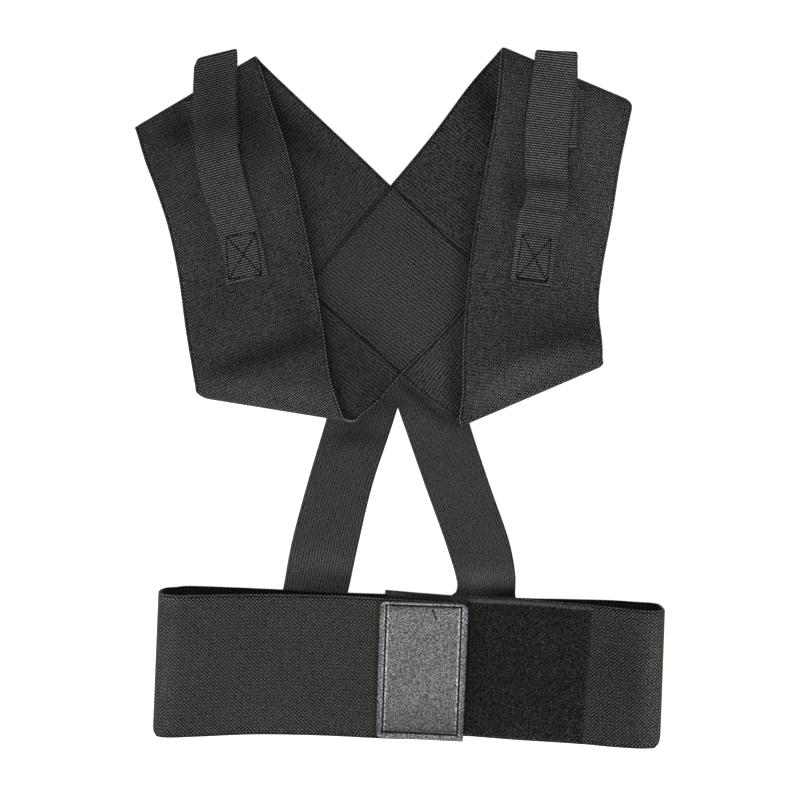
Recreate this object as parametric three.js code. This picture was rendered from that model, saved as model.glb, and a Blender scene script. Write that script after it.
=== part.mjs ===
// Posture and back support harness of elastic bands, lying on a table with its chest side up.
//
// Sizes are millimetres. Seen from above, +X is to the right and +Y towards the shoulders.
// +Z is up and the table is the plane z = 0.
//
// One wide elastic strip makes both shoulder loops. It crosses over itself in a sewn diamond
// at the back, turns over at each shoulder and each hip, and its two front panels lie on top.
// Two narrower straps run from under the diamond to the waist band, a flattened loop whose
// ends overlap in front and hold by hook and loop.
import * as THREE from 'three';
import { mergeVertices } from 'three/addons/utils/BufferGeometryUtils.js';

// Cloth thicknesses, and the clearance between layers that lie on each other
const BAND_THICKNESS = 1.8;
const STRAP_THICKNESS = 1.6;
const WEBBING_THICKNESS = 1.4;
const PILE_THICKNESS = 2.0;
const HOOK_THICKNESS = 1.4;
const LEATHER_THICKNESS = 1.6;
const LAYER_GAP = 0.35;
const DIAMOND_GAP = 0.5;
const WEBBING_GAP = 0.55;
const WEBBING_FOLD_GAP = 1;
const BELT_END_GAP = 1;

// Heights of the middle of each layer above the table
const STRAP_ON_TABLE = STRAP_THICKNESS / 2;
const STRAP_ON_STRAP = STRAP_ON_TABLE + STRAP_THICKNESS + LAYER_GAP;
const BAND_ON_TABLE = BAND_THICKNESS / 2;
const BAND_ON_STRAP = STRAP_THICKNESS + LAYER_GAP + BAND_ON_TABLE;
const BACK_UNDER = STRAP_ON_STRAP + STRAP_THICKNESS / 2 + LAYER_GAP + BAND_THICKNESS / 2;
const BACK_OVER = BACK_UNDER + BAND_THICKNESS + DIAMOND_GAP;
const SHOULDER_TOP = 7;
const HIP_OUTER = 11;
const HIP_INNER = 12;
const PANEL_TOP = 18;
const BELT_BULGE_LEFT = 20;
const BELT_BULGE_RIGHT = 17;
const RIGHT_END = BAND_ON_STRAP + BAND_THICKNESS + BELT_END_GAP;
const LOOP_LIFT = (BAND_THICKNESS + PILE_THICKNESS) / 2 + LAYER_GAP;
const HOOK_BASE = RIGHT_END + LOOP_LIFT + PILE_THICKNESS / 2 + LAYER_GAP;
const LEFT_END = HOOK_BASE + HOOK_THICKNESS + LAYER_GAP + BAND_THICKNESS / 2;
const PATCH_BASE = LEFT_END + BAND_THICKNESS / 2 + LAYER_GAP;

// Webbing layers are counted upwards from the panel that they are sewn to
const WEBBING_PITCH = WEBBING_THICKNESS + WEBBING_FOLD_GAP;
const LAYER_1 = (BAND_THICKNESS + WEBBING_THICKNESS) / 2 + WEBBING_GAP;
const LAYER_2 = LAYER_1 + WEBBING_PITCH;
const LAYER_3 = LAYER_2 + WEBBING_PITCH;

// Fineness of the meshes: sections along a run and round a fold, and spans across a strip
const RUN_STEPS = 3;
const FOLD_STEPS = 2;
const FOLD_TURNS = [0, 0.25, 0.5, 0.75, 1];
const BAND_SPANS = 6;
const STRAP_SPANS = 4;
const CORNER_SEGMENTS = 4;
const BEVEL_SEGMENTS = 2;
const MERGE_DISTANCE = 1e-3;

// A rung crosses a strip from its edge a to its edge b, at heights az and bz.
// A fold has its two ends, the heights that the strip comes from and those that it goes to.
const RUNG = ['ax', 'ay', 'az', 'bx', 'by', 'bz'];
const FOLD = ['ax', 'ay', 'aFrom', 'aTo', 'bx', 'by', 'bFrom', 'bTo'];

// Shoulder band, in its own order round the figure of eight
const BACK_DOWN_RIGHT = table(RUNG,
  [-139, 143, BAND_ON_TABLE, -62, 200, BAND_ON_TABLE],
  [-101, 108, 1.6, -33, 172.5, 1.6],
  [-65.5, 76, BACK_UNDER, -5.5, 145.5, BACK_UNDER],
  [-31, 44.5, BACK_UNDER, 28.5, 112, BACK_UNDER],
  [2, 13, BACK_UNDER, 62.5, 79.5, BACK_UNDER],
  [24.5, -5.5, BACK_UNDER, 102, 49, BACK_UNDER],
);
const RIGHT_HIP = table(FOLD,
  [46.5, -21, BACK_UNDER, HIP_INNER, 141, 20, BAND_ON_TABLE, HIP_OUTER],
);
const RIGHT_PANEL = table(RUNG,
  [43.5, 0, 15, 139, 38, 14],
  [44, 32, 17.5, 136.5, 62, 17],
  [47.5, 81, PANEL_TOP, 139, 87, PANEL_TOP],
  [53, 120, 17, 146, 121, 17],
  [60, 158.5, 14, 152, 156, 14],
  [67, 197, 10, 158, 182, 9],
);
const RIGHT_SHOULDER = table(FOLD,
  [72, 242, SHOULDER_TOP, BAND_ON_TABLE, 162.5, 203, SHOULDER_TOP, BAND_ON_TABLE],
);
const BACK_DOWN_LEFT = table(RUNG,
  [50, 219, BAND_ON_TABLE, 130, 164.5, BAND_ON_TABLE],
  [22, 181, 1.6, 97, 123, 2.2],
  [-5.5, 146, BACK_OVER, 62.5, 80, BACK_OVER],
  [-34.5, 112, BACK_OVER, 32.5, 45, BACK_OVER],
  [-65.5, 76, BACK_OVER, 2, 13, BACK_OVER],
  [-96, 41, 2.6, -16.5, -8.5, 4.4],
);
const LEFT_HIP = table(FOLD,
  [-140.5, -0.5, BAND_ON_TABLE, HIP_OUTER, -34, -18, 3.8, HIP_INNER],
);
const LEFT_PANEL = table(RUNG,
  [-141, 15, 14, -47, 10, 15],
  [-146.5, 44.5, 17, -52, 44.5, 17.5],
  [-151.5, 82, PANEL_TOP, -59.5, 89, PANEL_TOP],
  [-158.5, 114.5, 17, -68, 130.5, 17],
  [-168, 142.5, 14, -78, 171.5, 14],
  [-175.5, 162, 9, -88, 201.5, 10],
);
const LEFT_SHOULDER = table(FOLD,
  [-183, 186, SHOULDER_TOP, BAND_ON_TABLE, -99.5, 235.5, SHOULDER_TOP, BAND_ON_TABLE],
);

// Waist band from its left end over the left fold, along the back, and to its right end:
// a is on the upper edge and b on the lower edge
const BELT_LEFT = table(RUNG,
  [46, -143.5, LEFT_END, 43, -239, LEFT_END],
  [16, -142, LEFT_END, 13, -238, LEFT_END],
  [-15, -141, LEFT_END, -18, -237, LEFT_END],
  [-38, -139, 15, -41, -235, 15],
  [-68, -138, 18, -71.5, -233.5, 18],
  [-98, -137, 20, -102, -232.5, 20],
  [-136, -136, 21, -139.5, -234, 21],
);
const BELT_LEFT_FOLD = table(FOLD,
  [-165.5, -134, BELT_BULGE_LEFT, BAND_ON_TABLE, -169.5, -230.5, BELT_BULGE_LEFT, BAND_ON_TABLE],
);
const BELT_BACK = table(RUNG,
  [-135, -134, BAND_ON_TABLE, -138.5, -231.5, BAND_ON_TABLE],
  [-112, -135, BAND_ON_TABLE, -115.5, -232.5, BAND_ON_TABLE],
  [-97, -135.5, BAND_ON_STRAP, -100.5, -233, BAND_ON_STRAP],
  [-35, -137.5, BAND_ON_STRAP, -38.5, -235, BAND_ON_STRAP],
  [35, -140, BAND_ON_STRAP, 31.5, -237.5, BAND_ON_STRAP],
  [97, -142, BAND_ON_STRAP, 93.5, -240, BAND_ON_STRAP],
  [112, -142.5, BAND_ON_TABLE, 108.5, -240.5, BAND_ON_TABLE],
  [150, -143.5, BAND_ON_TABLE, 146.5, -242, BAND_ON_TABLE],
);
const BELT_RIGHT_FOLD = table(FOLD,
  [183, -145.5, BAND_ON_TABLE, BELT_BULGE_RIGHT, 179.5, -242, BAND_ON_TABLE, BELT_BULGE_RIGHT],
);
const BELT_RIGHT = table(RUNG,
  [162, -146.5, BELT_BULGE_RIGHT, 158, -243, BELT_BULGE_RIGHT],
  [132, -144.5, 12, 127, -241, 12],
  [84, -141.5, 7, 78.5, -239, 7],
  [49.5, -140, RIGHT_END, 44, -237, RIGHT_END],
  [20, -138, RIGHT_END, 14.5, -235, RIGHT_END],
  [-9.5, -135.5, RIGHT_END, -15, -232.5, RIGHT_END],
);

// Loop pile on the right end, held in from the edges of the band
const LOOP_PANEL = table(RUNG,
  [130.5, -145.5, LOOP_LIFT, 126, -240, LOOP_LIFT],
  [84, -142.5, LOOP_LIFT, 78.5, -238, LOOP_LIFT],
  [49.5, -141, LOOP_LIFT, 44, -236, LOOP_LIFT],
  [-8.5, -136.5, LOOP_LIFT, -13.5, -231.5, LOOP_LIFT],
);

// Narrow straps from under the diamond to under the waist band: a left edge, b right edge
const STRAP_LEFT = table(RUNG,
  [-33, 45, STRAP_ON_TABLE, 12, 35, STRAP_ON_TABLE],
  [-51, -17.5, STRAP_ON_TABLE, -3.5, -17.5, STRAP_ON_TABLE],
  [-64.5, -63, STRAP_ON_TABLE, -18.5, -63, STRAP_ON_TABLE],
  [-75.5, -105, STRAP_ON_TABLE, -28.5, -105, STRAP_ON_TABLE],
  [-81, -135, STRAP_ON_TABLE, -35, -135, STRAP_ON_TABLE],
  [-91.5, -178, STRAP_ON_TABLE, -46, -182, STRAP_ON_TABLE],
);
const STRAP_RIGHT = table(RUNG,
  [-15.5, 33, STRAP_ON_STRAP, 33, 45, STRAP_ON_STRAP],
  [-0.5, -10, STRAP_ON_STRAP, 46.5, -10, 1.8],
  [6.5, -30, STRAP_ON_TABLE, 52.5, -30, STRAP_ON_TABLE],
  [18, -63, STRAP_ON_TABLE, 63.5, -63, STRAP_ON_TABLE],
  [33, -105, STRAP_ON_TABLE, 78, -105, STRAP_ON_TABLE],
  [41.5, -135, STRAP_ON_TABLE, 82.5, -135, STRAP_ON_TABLE],
  [51, -182, STRAP_ON_TABLE, 93, -178, STRAP_ON_TABLE],
);

// Webbing on each panel: a cut end by the shoulder fold, a turn below it, a turn at the top
// of the loop, and the long run down to the box stitch. a is the left edge, b the right edge.
const WEBBING_LEFT = {
  tail: table(RUNG, [-150.5, 201.5, LAYER_1, -123.5, 214, LAYER_1]),
  lowerFold: table(FOLD, [-138.5, 166.5, LAYER_1, LAYER_2, -109, 173, LAYER_1, LAYER_2]),
  rise: table(RUNG, [-141, 205, LAYER_2, -111.5, 208, LAYER_2]),
  upperFold: table(FOLD, [-141, 232, LAYER_2, LAYER_3, -112, 239, LAYER_2, LAYER_3]),
  run: table(RUNG,
    [-142, 207, LAYER_3, -112, 210, LAYER_3],
    [-141, 183, LAYER_3, -111, 178, LAYER_3],
    [-139, 163, LAYER_3, -108.5, 162, LAYER_3],
    [-134.5, 138.5, LAYER_1, -103, 140, LAYER_1],
    [-127.5, 120.5, LAYER_1, -98, 122.5, LAYER_1],
    [-120, 93.5, LAYER_1, -92, 97, LAYER_1],
    [-118, 76, LAYER_1, -89, 81.5, LAYER_1],
  ),
};
const WEBBING_RIGHT = {
  tail: table(RUNG, [100.5, 222.5, LAYER_1, 129, 210.5, LAYER_1]),
  lowerFold: table(FOLD, [93, 168.5, LAYER_1, LAYER_2, 122.5, 170.5, LAYER_1, LAYER_2]),
  rise: table(RUNG, [93.5, 208, LAYER_2, 123.5, 207, LAYER_2]),
  upperFold: table(FOLD, [94, 237.5, LAYER_2, LAYER_3, 123.5, 236, LAYER_2, LAYER_3]),
  run: table(RUNG,
    [90.5, 210, LAYER_3, 121, 208.5, LAYER_3],
    [87.5, 191.5, LAYER_3, 118.5, 191.5, LAYER_3],
    [86, 163, LAYER_3, 115.5, 163, LAYER_3],
    [87, 137, LAYER_1, 116.5, 136, LAYER_1],
    [81.5, 122, LAYER_1, 112.5, 120.5, LAYER_1],
    [78.5, 96, LAYER_1, 108, 98, LAYER_1],
    [76, 79, LAYER_1, 104.5, 74.5, LAYER_1],
  ),
};

// Flat tabs as rounded outlines, corner by corner
const CORNER = ['x', 'y', 'radius'];
const LEATHER_OUTLINE = table(CORNER,
  [-13, -142, 4.5],
  [48, -144.5, 4.5],
  [44, -239, 1],
  [-16, -236, 4.5],
);
const HOOK_OUTLINE = table(CORNER, [0, -150, 3], [42, -152, 3], [38, -229, 3], [-3, -227, 3]);
const LEATHER_BEVEL = 0.4;

const ELASTIC = { color: 0x33322f, roughness: 0.95, metalness: 0 };
const RIBBED_ELASTIC = { color: 0x3a3936, roughness: 0.95, metalness: 0 };
const WEBBING = { color: 0x403f3c, roughness: 0.85, metalness: 0 };
const LOOP_PILE = { color: 0x222221, roughness: 1, metalness: 0 };
const HOOK_TAPE = { color: 0x262625, roughness: 0.7, metalness: 0 };
const LEATHER = { color: 0x6f6f72, roughness: 0.5, metalness: 0 };

function table(columns, ...rows) {
  return rows.map((row) => Object.fromEntries(columns.map((name, i) => [name, row[i]])));
}

function runRungs(rows) {
  return rows.map((row) => ({
    a: new THREE.Vector3(row.ax, row.ay, row.az),
    b: new THREE.Vector3(row.bx, row.by, row.bz),
    steps: RUN_STEPS,
  }));
}

// A strip turns over on a fold line: a half-turn that reaches out to the line and comes back
function foldRungs([fold], before) {
  const outward = new THREE.Vector3(fold.by - fold.ay, fold.ax - fold.bx, 0).normalize();
  const heading = new THREE.Vector3(
    fold.ax + fold.bx - before.a.x - before.b.x,
    fold.ay + fold.by - before.a.y - before.b.y,
    0,
  );
  if (outward.dot(heading) < 0) {
    outward.negate();
  }
  return FOLD_TURNS.map((turn) => ({
    a: foldPoint(fold.ax, fold.ay, fold.aFrom, fold.aTo, outward, turn * Math.PI),
    b: foldPoint(fold.bx, fold.by, fold.bFrom, fold.bTo, outward, turn * Math.PI),
    steps: turn < 1 ? FOLD_STEPS : RUN_STEPS,
  }));
}

function foldPoint(x, y, from, to, outward, angle) {
  const rise = (to - from) / 2;
  const point = new THREE.Vector3(x, y, from + rise * (1 - Math.cos(angle)));
  return point.addScaledVector(outward, Math.abs(rise) * (Math.sin(angle) - 1));
}

// The middle surface of a strip: sections along it, each a row of points from edge a to edge b.
// Heights count from the surface below.
function stripGrid(rungs, { closed = false, spans, below = () => 0 }) {
  const edgeA = edgeCurve(rungs.map((rung) => rung.a), closed);
  const edgeB = edgeCurve(rungs.map((rung) => rung.b), closed);
  const section = (k, part) => {
    const a = edgeA(k, part);
    const b = edgeB(k, part);
    return Array.from({ length: spans + 1 }, (_, j) => {
      const point = a.clone().lerp(b, j / spans);
      point.z += below(point.x, point.y);
      return point;
    });
  };
  const intervals = closed ? rungs.length : rungs.length - 1;
  const grid = [];
  for (let k = 0; k < intervals; k += 1) {
    for (let step = 0; step < rungs[k].steps; step += 1) {
      grid.push(section(k, step / rungs[k].steps));
    }
  }
  if (!closed) {
    grid.push(section(intervals - 1, 1));
  }
  return grid;
}

// A smooth edge through the rungs' ends, never higher or lower than the two ends it runs between
function edgeCurve(points, closed) {
  const curve = new THREE.CatmullRomCurve3(points, closed);
  const intervals = closed ? points.length : points.length - 1;
  return (k, part) => {
    const point = curve.getPoint((k + part) / intervals);
    const heights = [points[k].z, points[(k + 1) % points.length].z];
    point.z = THREE.MathUtils.clamp(point.z, Math.min(...heights), Math.max(...heights));
    return point;
  };
}

// Height of a middle surface over a place on the table, the highest where it lies in layers
function heightOver(grid, closed, fallback) {
  const triangles = [];
  const last = closed ? grid.length : grid.length - 1;
  for (let i = 0; i < last; i += 1) {
    const near = grid[i];
    const far = grid[(i + 1) % grid.length];
    for (let j = 0; j + 1 < near.length; j += 1) {
      triangles.push([near[j], far[j], far[j + 1]], [near[j], far[j + 1], near[j + 1]]);
    }
  }
  return (x, y) => {
    const heights = triangles.map((corners) => heightIn(corners, x, y));
    return Math.max(fallback, ...heights);
  };
}

function heightIn([p, q, r], x, y) {
  const area = (q.x - p.x) * (r.y - p.y) - (r.x - p.x) * (q.y - p.y);
  const u = ((x - p.x) * (r.y - p.y) - (r.x - p.x) * (y - p.y)) / area;
  const v = ((q.x - p.x) * (y - p.y) - (x - p.x) * (q.y - p.y)) / area;
  const inside = u >= 0 && v >= 0 && u + v <= 1;
  return inside ? p.z + u * (q.z - p.z) + v * (r.z - p.z) : -Infinity;
}

// Closed solid of even thickness about a middle surface
function sheetGeometry(grid, thickness, closed = false) {
  const rows = grid.length;
  const columns = grid[0].length;
  const rowAt = (i) => (closed ? (i + rows) % rows : THREE.MathUtils.clamp(i, 0, rows - 1));
  const columnAt = (j) => THREE.MathUtils.clamp(j, 0, columns - 1);
  const positions = [];
  for (let i = 0; i < rows; i += 1) {
    for (let j = 0; j < columns; j += 1) {
      const along = grid[rowAt(i + 1)][j].clone().sub(grid[rowAt(i - 1)][j]);
      const across = grid[i][columnAt(j + 1)].clone().sub(grid[i][columnAt(j - 1)]);
      const normal = along.cross(across).normalize();
      for (const side of [0.5, -0.5]) {
        positions.push(...grid[i][j].clone().addScaledVector(normal, side * thickness).toArray());
      }
    }
  }
  const upper = (i, j) => 2 * (rowAt(i) * columns + j);
  const lower = (i, j) => upper(i, j) + 1;
  const faces = [];
  const quad = (p, q, r, s) => faces.push(p, q, r, p, r, s);
  const strips = closed ? rows : rows - 1;
  for (let i = 0; i < strips; i += 1) {
    for (let j = 0; j + 1 < columns; j += 1) {
      quad(upper(i, j), upper(i + 1, j), upper(i + 1, j + 1), upper(i, j + 1));
      quad(lower(i, j), lower(i, j + 1), lower(i + 1, j + 1), lower(i + 1, j));
    }
    quad(upper(i, 0), lower(i, 0), lower(i + 1, 0), upper(i + 1, 0));
    const edge = columns - 1;
    quad(upper(i, edge), upper(i + 1, edge), lower(i + 1, edge), lower(i, edge));
  }
  for (let j = 0; !closed && j + 1 < columns; j += 1) {
    quad(upper(0, j), upper(0, j + 1), lower(0, j + 1), lower(0, j));
    const end = rows - 1;
    quad(upper(end, j), lower(end, j), lower(end, j + 1), upper(end, j + 1));
  }
  const geometry = new THREE.BufferGeometry();
  geometry.setAttribute('position', new THREE.Float32BufferAttribute(positions, 3));
  geometry.setIndex(faces);
  geometry.computeVertexNormals();
  return geometry;
}

// Flat tab with rounded corners, lying at a base height
function tabGeometry(corners, base, thickness, bevel) {
  const outline = new THREE.Shape();
  corners.forEach((corner, i) => {
    const here = new THREE.Vector2(corner.x, corner.y);
    const [before, after] = [corners.at(i - 1), corners[(i + 1) % corners.length]].map((other) => (
      new THREE.Vector2(other.x, other.y).sub(here).setLength(corner.radius).add(here)
    ));
    if (i === 0) {
      outline.moveTo(before.x, before.y);
    } else {
      outline.lineTo(before.x, before.y);
    }
    outline.quadraticCurveTo(here.x, here.y, after.x, after.y);
  });
  const geometry = new THREE.ExtrudeGeometry(outline, {
    depth: thickness - 2 * bevel,
    curveSegments: CORNER_SEGMENTS,
    bevelEnabled: bevel > 0,
    bevelThickness: bevel,
    bevelSize: bevel,
    bevelOffset: -bevel,
    bevelSegments: BEVEL_SEGMENTS,
  });
  geometry.deleteAttribute('normal');
  geometry.deleteAttribute('uv');
  const solid = mergeVertices(geometry, MERGE_DISTANCE);
  solid.translate(0, 0, base + bevel);
  solid.computeVertexNormals();
  return solid;
}

function shoulderBand() {
  const backDownRight = runRungs(BACK_DOWN_RIGHT);
  const rightPanel = runRungs(RIGHT_PANEL);
  const backDownLeft = runRungs(BACK_DOWN_LEFT);
  const leftPanel = runRungs(LEFT_PANEL);
  const rungs = [
    ...backDownRight,
    ...foldRungs(RIGHT_HIP, backDownRight.at(-1)),
    ...rightPanel,
    ...foldRungs(RIGHT_SHOULDER, rightPanel.at(-1)),
    ...backDownLeft,
    ...foldRungs(LEFT_HIP, backDownLeft.at(-1)),
    ...leftPanel,
    ...foldRungs(LEFT_SHOULDER, leftPanel.at(-1)),
  ];
  return stripGrid(rungs, { closed: true, spans: BAND_SPANS });
}

function waistBand() {
  const left = runRungs(BELT_LEFT);
  const back = runRungs(BELT_BACK);
  const rungs = [
    ...left,
    ...foldRungs(BELT_LEFT_FOLD, left.at(-1)),
    ...back,
    ...foldRungs(BELT_RIGHT_FOLD, back.at(-1)),
    ...runRungs(BELT_RIGHT),
  ];
  return stripGrid(rungs, { spans: BAND_SPANS });
}

function webbing({ tail, lowerFold, rise, upperFold, run }, below) {
  const start = runRungs(tail);
  const middle = runRungs(rise);
  const rungs = [
    ...start,
    ...foldRungs(lowerFold, start[0]),
    ...middle,
    ...foldRungs(upperFold, middle[0]),
    ...runRungs(run),
  ];
  return stripGrid(rungs, { spans: STRAP_SPANS, below });
}

function mesh(name, geometry, look) {
  const piece = new THREE.Mesh(geometry, new THREE.MeshStandardMaterial(look));
  piece.name = name;
  return piece;
}

const shoulderGrid = shoulderBand();
const onPanel = heightOver(shoulderGrid, true, SHOULDER_TOP);
const beltGrid = waistBand();
const rightEndGrid = beltGrid.slice(-(BELT_RIGHT.length * RUN_STEPS));
const onRightEnd = heightOver(rightEndGrid, false, RIGHT_END);
const loopGrid = stripGrid(runRungs(LOOP_PANEL), { spans: BAND_SPANS, below: onRightEnd });
const leatherTab = tabGeometry(LEATHER_OUTLINE, PATCH_BASE, LEATHER_THICKNESS, LEATHER_BEVEL);
const strapGrid = (rows) => stripGrid(runRungs(rows), { spans: STRAP_SPANS });

const harness = new THREE.Group();
harness.add(
  mesh('shoulder_band', sheetGeometry(shoulderGrid, BAND_THICKNESS, true), ELASTIC),
  mesh('webbing_left', sheetGeometry(webbing(WEBBING_LEFT, onPanel), WEBBING_THICKNESS), WEBBING),
  mesh('webbing_right', sheetGeometry(webbing(WEBBING_RIGHT, onPanel), WEBBING_THICKNESS), WEBBING),
  mesh('lower_strap_left', sheetGeometry(strapGrid(STRAP_LEFT), STRAP_THICKNESS), RIBBED_ELASTIC),
  mesh('lower_strap_right', sheetGeometry(strapGrid(STRAP_RIGHT), STRAP_THICKNESS), RIBBED_ELASTIC),
  mesh('waist_band', sheetGeometry(beltGrid, BAND_THICKNESS), ELASTIC),
  mesh('loop_panel', sheetGeometry(loopGrid, PILE_THICKNESS), LOOP_PILE),
  mesh('hook_pad', tabGeometry(HOOK_OUTLINE, HOOK_BASE, HOOK_THICKNESS, 0), HOOK_TAPE),
  mesh('leather_patch', leatherTab, LEATHER),
);

export default harness;
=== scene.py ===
"""Looks of a posture harness with a waist band, lying on a table with its chest side up.

Tables and sizes are in millimetres, as +X to the right, +Y towards the shoulders and +Z up.
Meshes are made in metres. Every woven strip carries a UV map in metres: u across it, v along it.
"""

import math
import random
from typing import NamedTuple

import bpy
import numpy as np
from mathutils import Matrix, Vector
from mathutils.bvhtree import BVHTree


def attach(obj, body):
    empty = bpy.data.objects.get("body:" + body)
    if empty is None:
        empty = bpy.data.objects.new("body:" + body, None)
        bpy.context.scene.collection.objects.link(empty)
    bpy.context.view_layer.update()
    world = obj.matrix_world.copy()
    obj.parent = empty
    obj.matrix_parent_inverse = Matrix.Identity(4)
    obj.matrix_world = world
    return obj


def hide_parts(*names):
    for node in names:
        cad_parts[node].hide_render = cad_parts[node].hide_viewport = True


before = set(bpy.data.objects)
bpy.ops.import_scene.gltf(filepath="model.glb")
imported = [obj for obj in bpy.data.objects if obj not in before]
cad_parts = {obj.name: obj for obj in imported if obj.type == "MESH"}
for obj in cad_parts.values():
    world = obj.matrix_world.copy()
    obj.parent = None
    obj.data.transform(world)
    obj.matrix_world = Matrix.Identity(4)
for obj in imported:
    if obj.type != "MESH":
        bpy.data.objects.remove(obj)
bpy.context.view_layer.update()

MM = 0.001

# Cloth thicknesses and nominal widths
BAND_THICKNESS = 1.8
STRAP_THICKNESS = 1.6
WEBBING_THICKNESS = 1.4
PILE_THICKNESS = 2.0
HOOK_THICKNESS = 1.4
LEATHER_THICKNESS = 1.6
SHOULDER_WIDTH = 92.0
BELT_WIDTH = 97.0
STRAP_WIDTH = 46.0
WEBBING_WIDTH = 30.0
PILE_WIDTH = 95.0

# Gaps between layers that lie on each other
LAYER_GAP = 0.35
DIAMOND_GAP = 0.5
BELT_END_GAP = 1.0
WEBBING_GAP = 0.55
WEBBING_FOLD_GAP = 1.0

# Heights of the middle of each layer above the table
ON_TABLE = STRAP_THICKNESS / 2
ON_STRAP = ON_TABLE + STRAP_THICKNESS + LAYER_GAP
BAND_LOW = BAND_THICKNESS / 2
BAND_ON_STRAP = STRAP_THICKNESS + LAYER_GAP + BAND_LOW
BACK_UNDER = ON_STRAP + STRAP_THICKNESS / 2 + LAYER_GAP + BAND_LOW
BACK_OVER = BACK_UNDER + BAND_THICKNESS + DIAMOND_GAP
SHOULDER_TOP = 7.0
HIP_OUTER = 11.0
HIP_INNER = 12.0
PANEL_TOP = 18.0
BULGE_LEFT = 20.0
BULGE_RIGHT = 17.0
RIGHT_END = BAND_ON_STRAP + BAND_THICKNESS + BELT_END_GAP
LOOP_LIFT = (BAND_THICKNESS + PILE_THICKNESS) / 2 + LAYER_GAP
HOOK_BASE = RIGHT_END + LOOP_LIFT + PILE_THICKNESS / 2 + LAYER_GAP
LEFT_END = HOOK_BASE + HOOK_THICKNESS + LAYER_GAP + BAND_LOW
PATCH_BASE = LEFT_END + BAND_LOW + LAYER_GAP

# Webbing layers, counted upwards from the panel below
LAYER_1 = (BAND_THICKNESS + WEBBING_THICKNESS) / 2 + WEBBING_GAP
LAYER_2 = LAYER_1 + WEBBING_THICKNESS + WEBBING_FOLD_GAP
LAYER_3 = LAYER_2 + WEBBING_THICKNESS + WEBBING_FOLD_GAP

# Repeats of the weaves, and how high their ribs stand
ELASTIC_REPEAT = (1.66, 2.38)
BELT_REPEAT = (2.44, 2.71)
STRAP_RIB = 1.95
STRAP_RIB_HEIGHT = 0.13
WEBBING_RIB = 1.70
WEBBING_RIB_HEIGHT = 0.16
WEBBING_DOT = 2.10
PILE_HEIGHT = 0.14

# Steps of the meshes: along the strips, across them, and beside the diamond's seams
SHOULDER_STEP = 2.1
BELT_STEP = 2.0
STRAP_STEP = 1.6
PILE_STEP = 1.2
BAND_COLUMN = 2.2
SELVEDGE_COLUMNS = [0, 0.35, 0.8, 1.4, 1.9, 2.5, 3.4]
COLUMNS_PER_RIB = 5
ROWS_PER_RIB = 4
WEBBING_COLUMNS = 26
PILE_COLUMNS = 79
HOOK_STEPS = (14, 26)
LEATHER_STEPS = (110, 170)
SEAM_ROWS = np.array([0, 0.45, 0.9, 1.5, 2.4, 3.4, 4.6])
SHADOW_LINE_POINTS = 30
DENSE_STEPS = 40
FOLD_RUNGS = 5
TUBE_RINGS = 5
TUBE_SIDES = 6

# Steepest rise of a strip where it counts as level
LEVEL_RISE = 0.2

# Rounded edges of the cloth: their width and the height left at the rim, as shares of the thickness
EDGE_ROUNDING = 0.55
RIM_SHARE = 0.35

# The groove beside a selvedge: depth, place from the edge and half-width; and the beads on that edge
SELVEDGE_GROOVE = (0.18, 1.5, 0.4)
BEAD_PITCH = 2.38
BEAD_INSET = 0.4
BEAD_ACROSS = 0.45
BEAD_UP = 1.0

# The worn-down rim of a flat tab: depth and width
TAB_RIM_DROP = 0.5
TAB_RIM_WIDTH = 0.8

# Heights that rays fall from: above everything, and just above the diamond
SKY = 200.0
DIAMOND_SKY = BACK_OVER + 4

# Darkest and brightest weave
LEAST_TONE = 0.06
MOST_TONE = 8.0


def unit(vectors):
    """Vectors of length one, along the last axis."""
    return vectors / np.maximum(np.linalg.norm(vectors, axis=-1, keepdims=True), 1e-9)


def bell(values, middle, spread):
    """One at the middle, falling off softly over the spread."""
    return np.exp(-(((values - middle) / spread) ** 2))


class Fold(NamedTuple):
    """A fold line from edge a to edge b, and the heights that a strip comes from and goes to.

    A height is one for both edges or a pair. The arms lie open along the line, at a and at b.
    """

    a: tuple
    b: tuple
    comes: object
    goes: object
    opens: tuple = (0, 0)

    def rungs(self, before):
        """A half-turn that reaches out to the fold line and comes back at the other height."""
        ends = np.array([self.a, self.b], float)
        line = unit(ends[1] - ends[0])
        outward = np.array([line[1], -line[0]])
        heading = ends.sum(axis=0) - (before[0][-1] + before[1][-1])[:2]
        if outward @ heading < 0:
            outward = -outward
        angles = np.linspace(0, math.pi, FOLD_RUNGS)
        swing = np.outer(np.cos(angles), line)
        comes, goes = np.broadcast_to(self.comes, 2), np.broadcast_to(self.goes, 2)
        edges = []
        for end, low, high, opening in zip(ends, comes, goes, self.opens):
            rise = (high - low) / 2
            reach = abs(rise) * (np.sin(angles) - 1)
            plan = end + np.outer(reach, outward) + swing * opening
            edges.append(np.column_stack([plan, low + rise * (1 - np.cos(angles))]))
        return edges


class Stitch(NamedTuple):
    """Threads of a seam, arched over the cloth or sunk into it.

    At its ends a thread dives by a number of radii. It slants off its line by a share of its length.
    """

    pitch: float
    length: float
    radius: float
    sunk: float = 0.0
    dive: float = 1.3
    slant: float = 0.0


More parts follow.
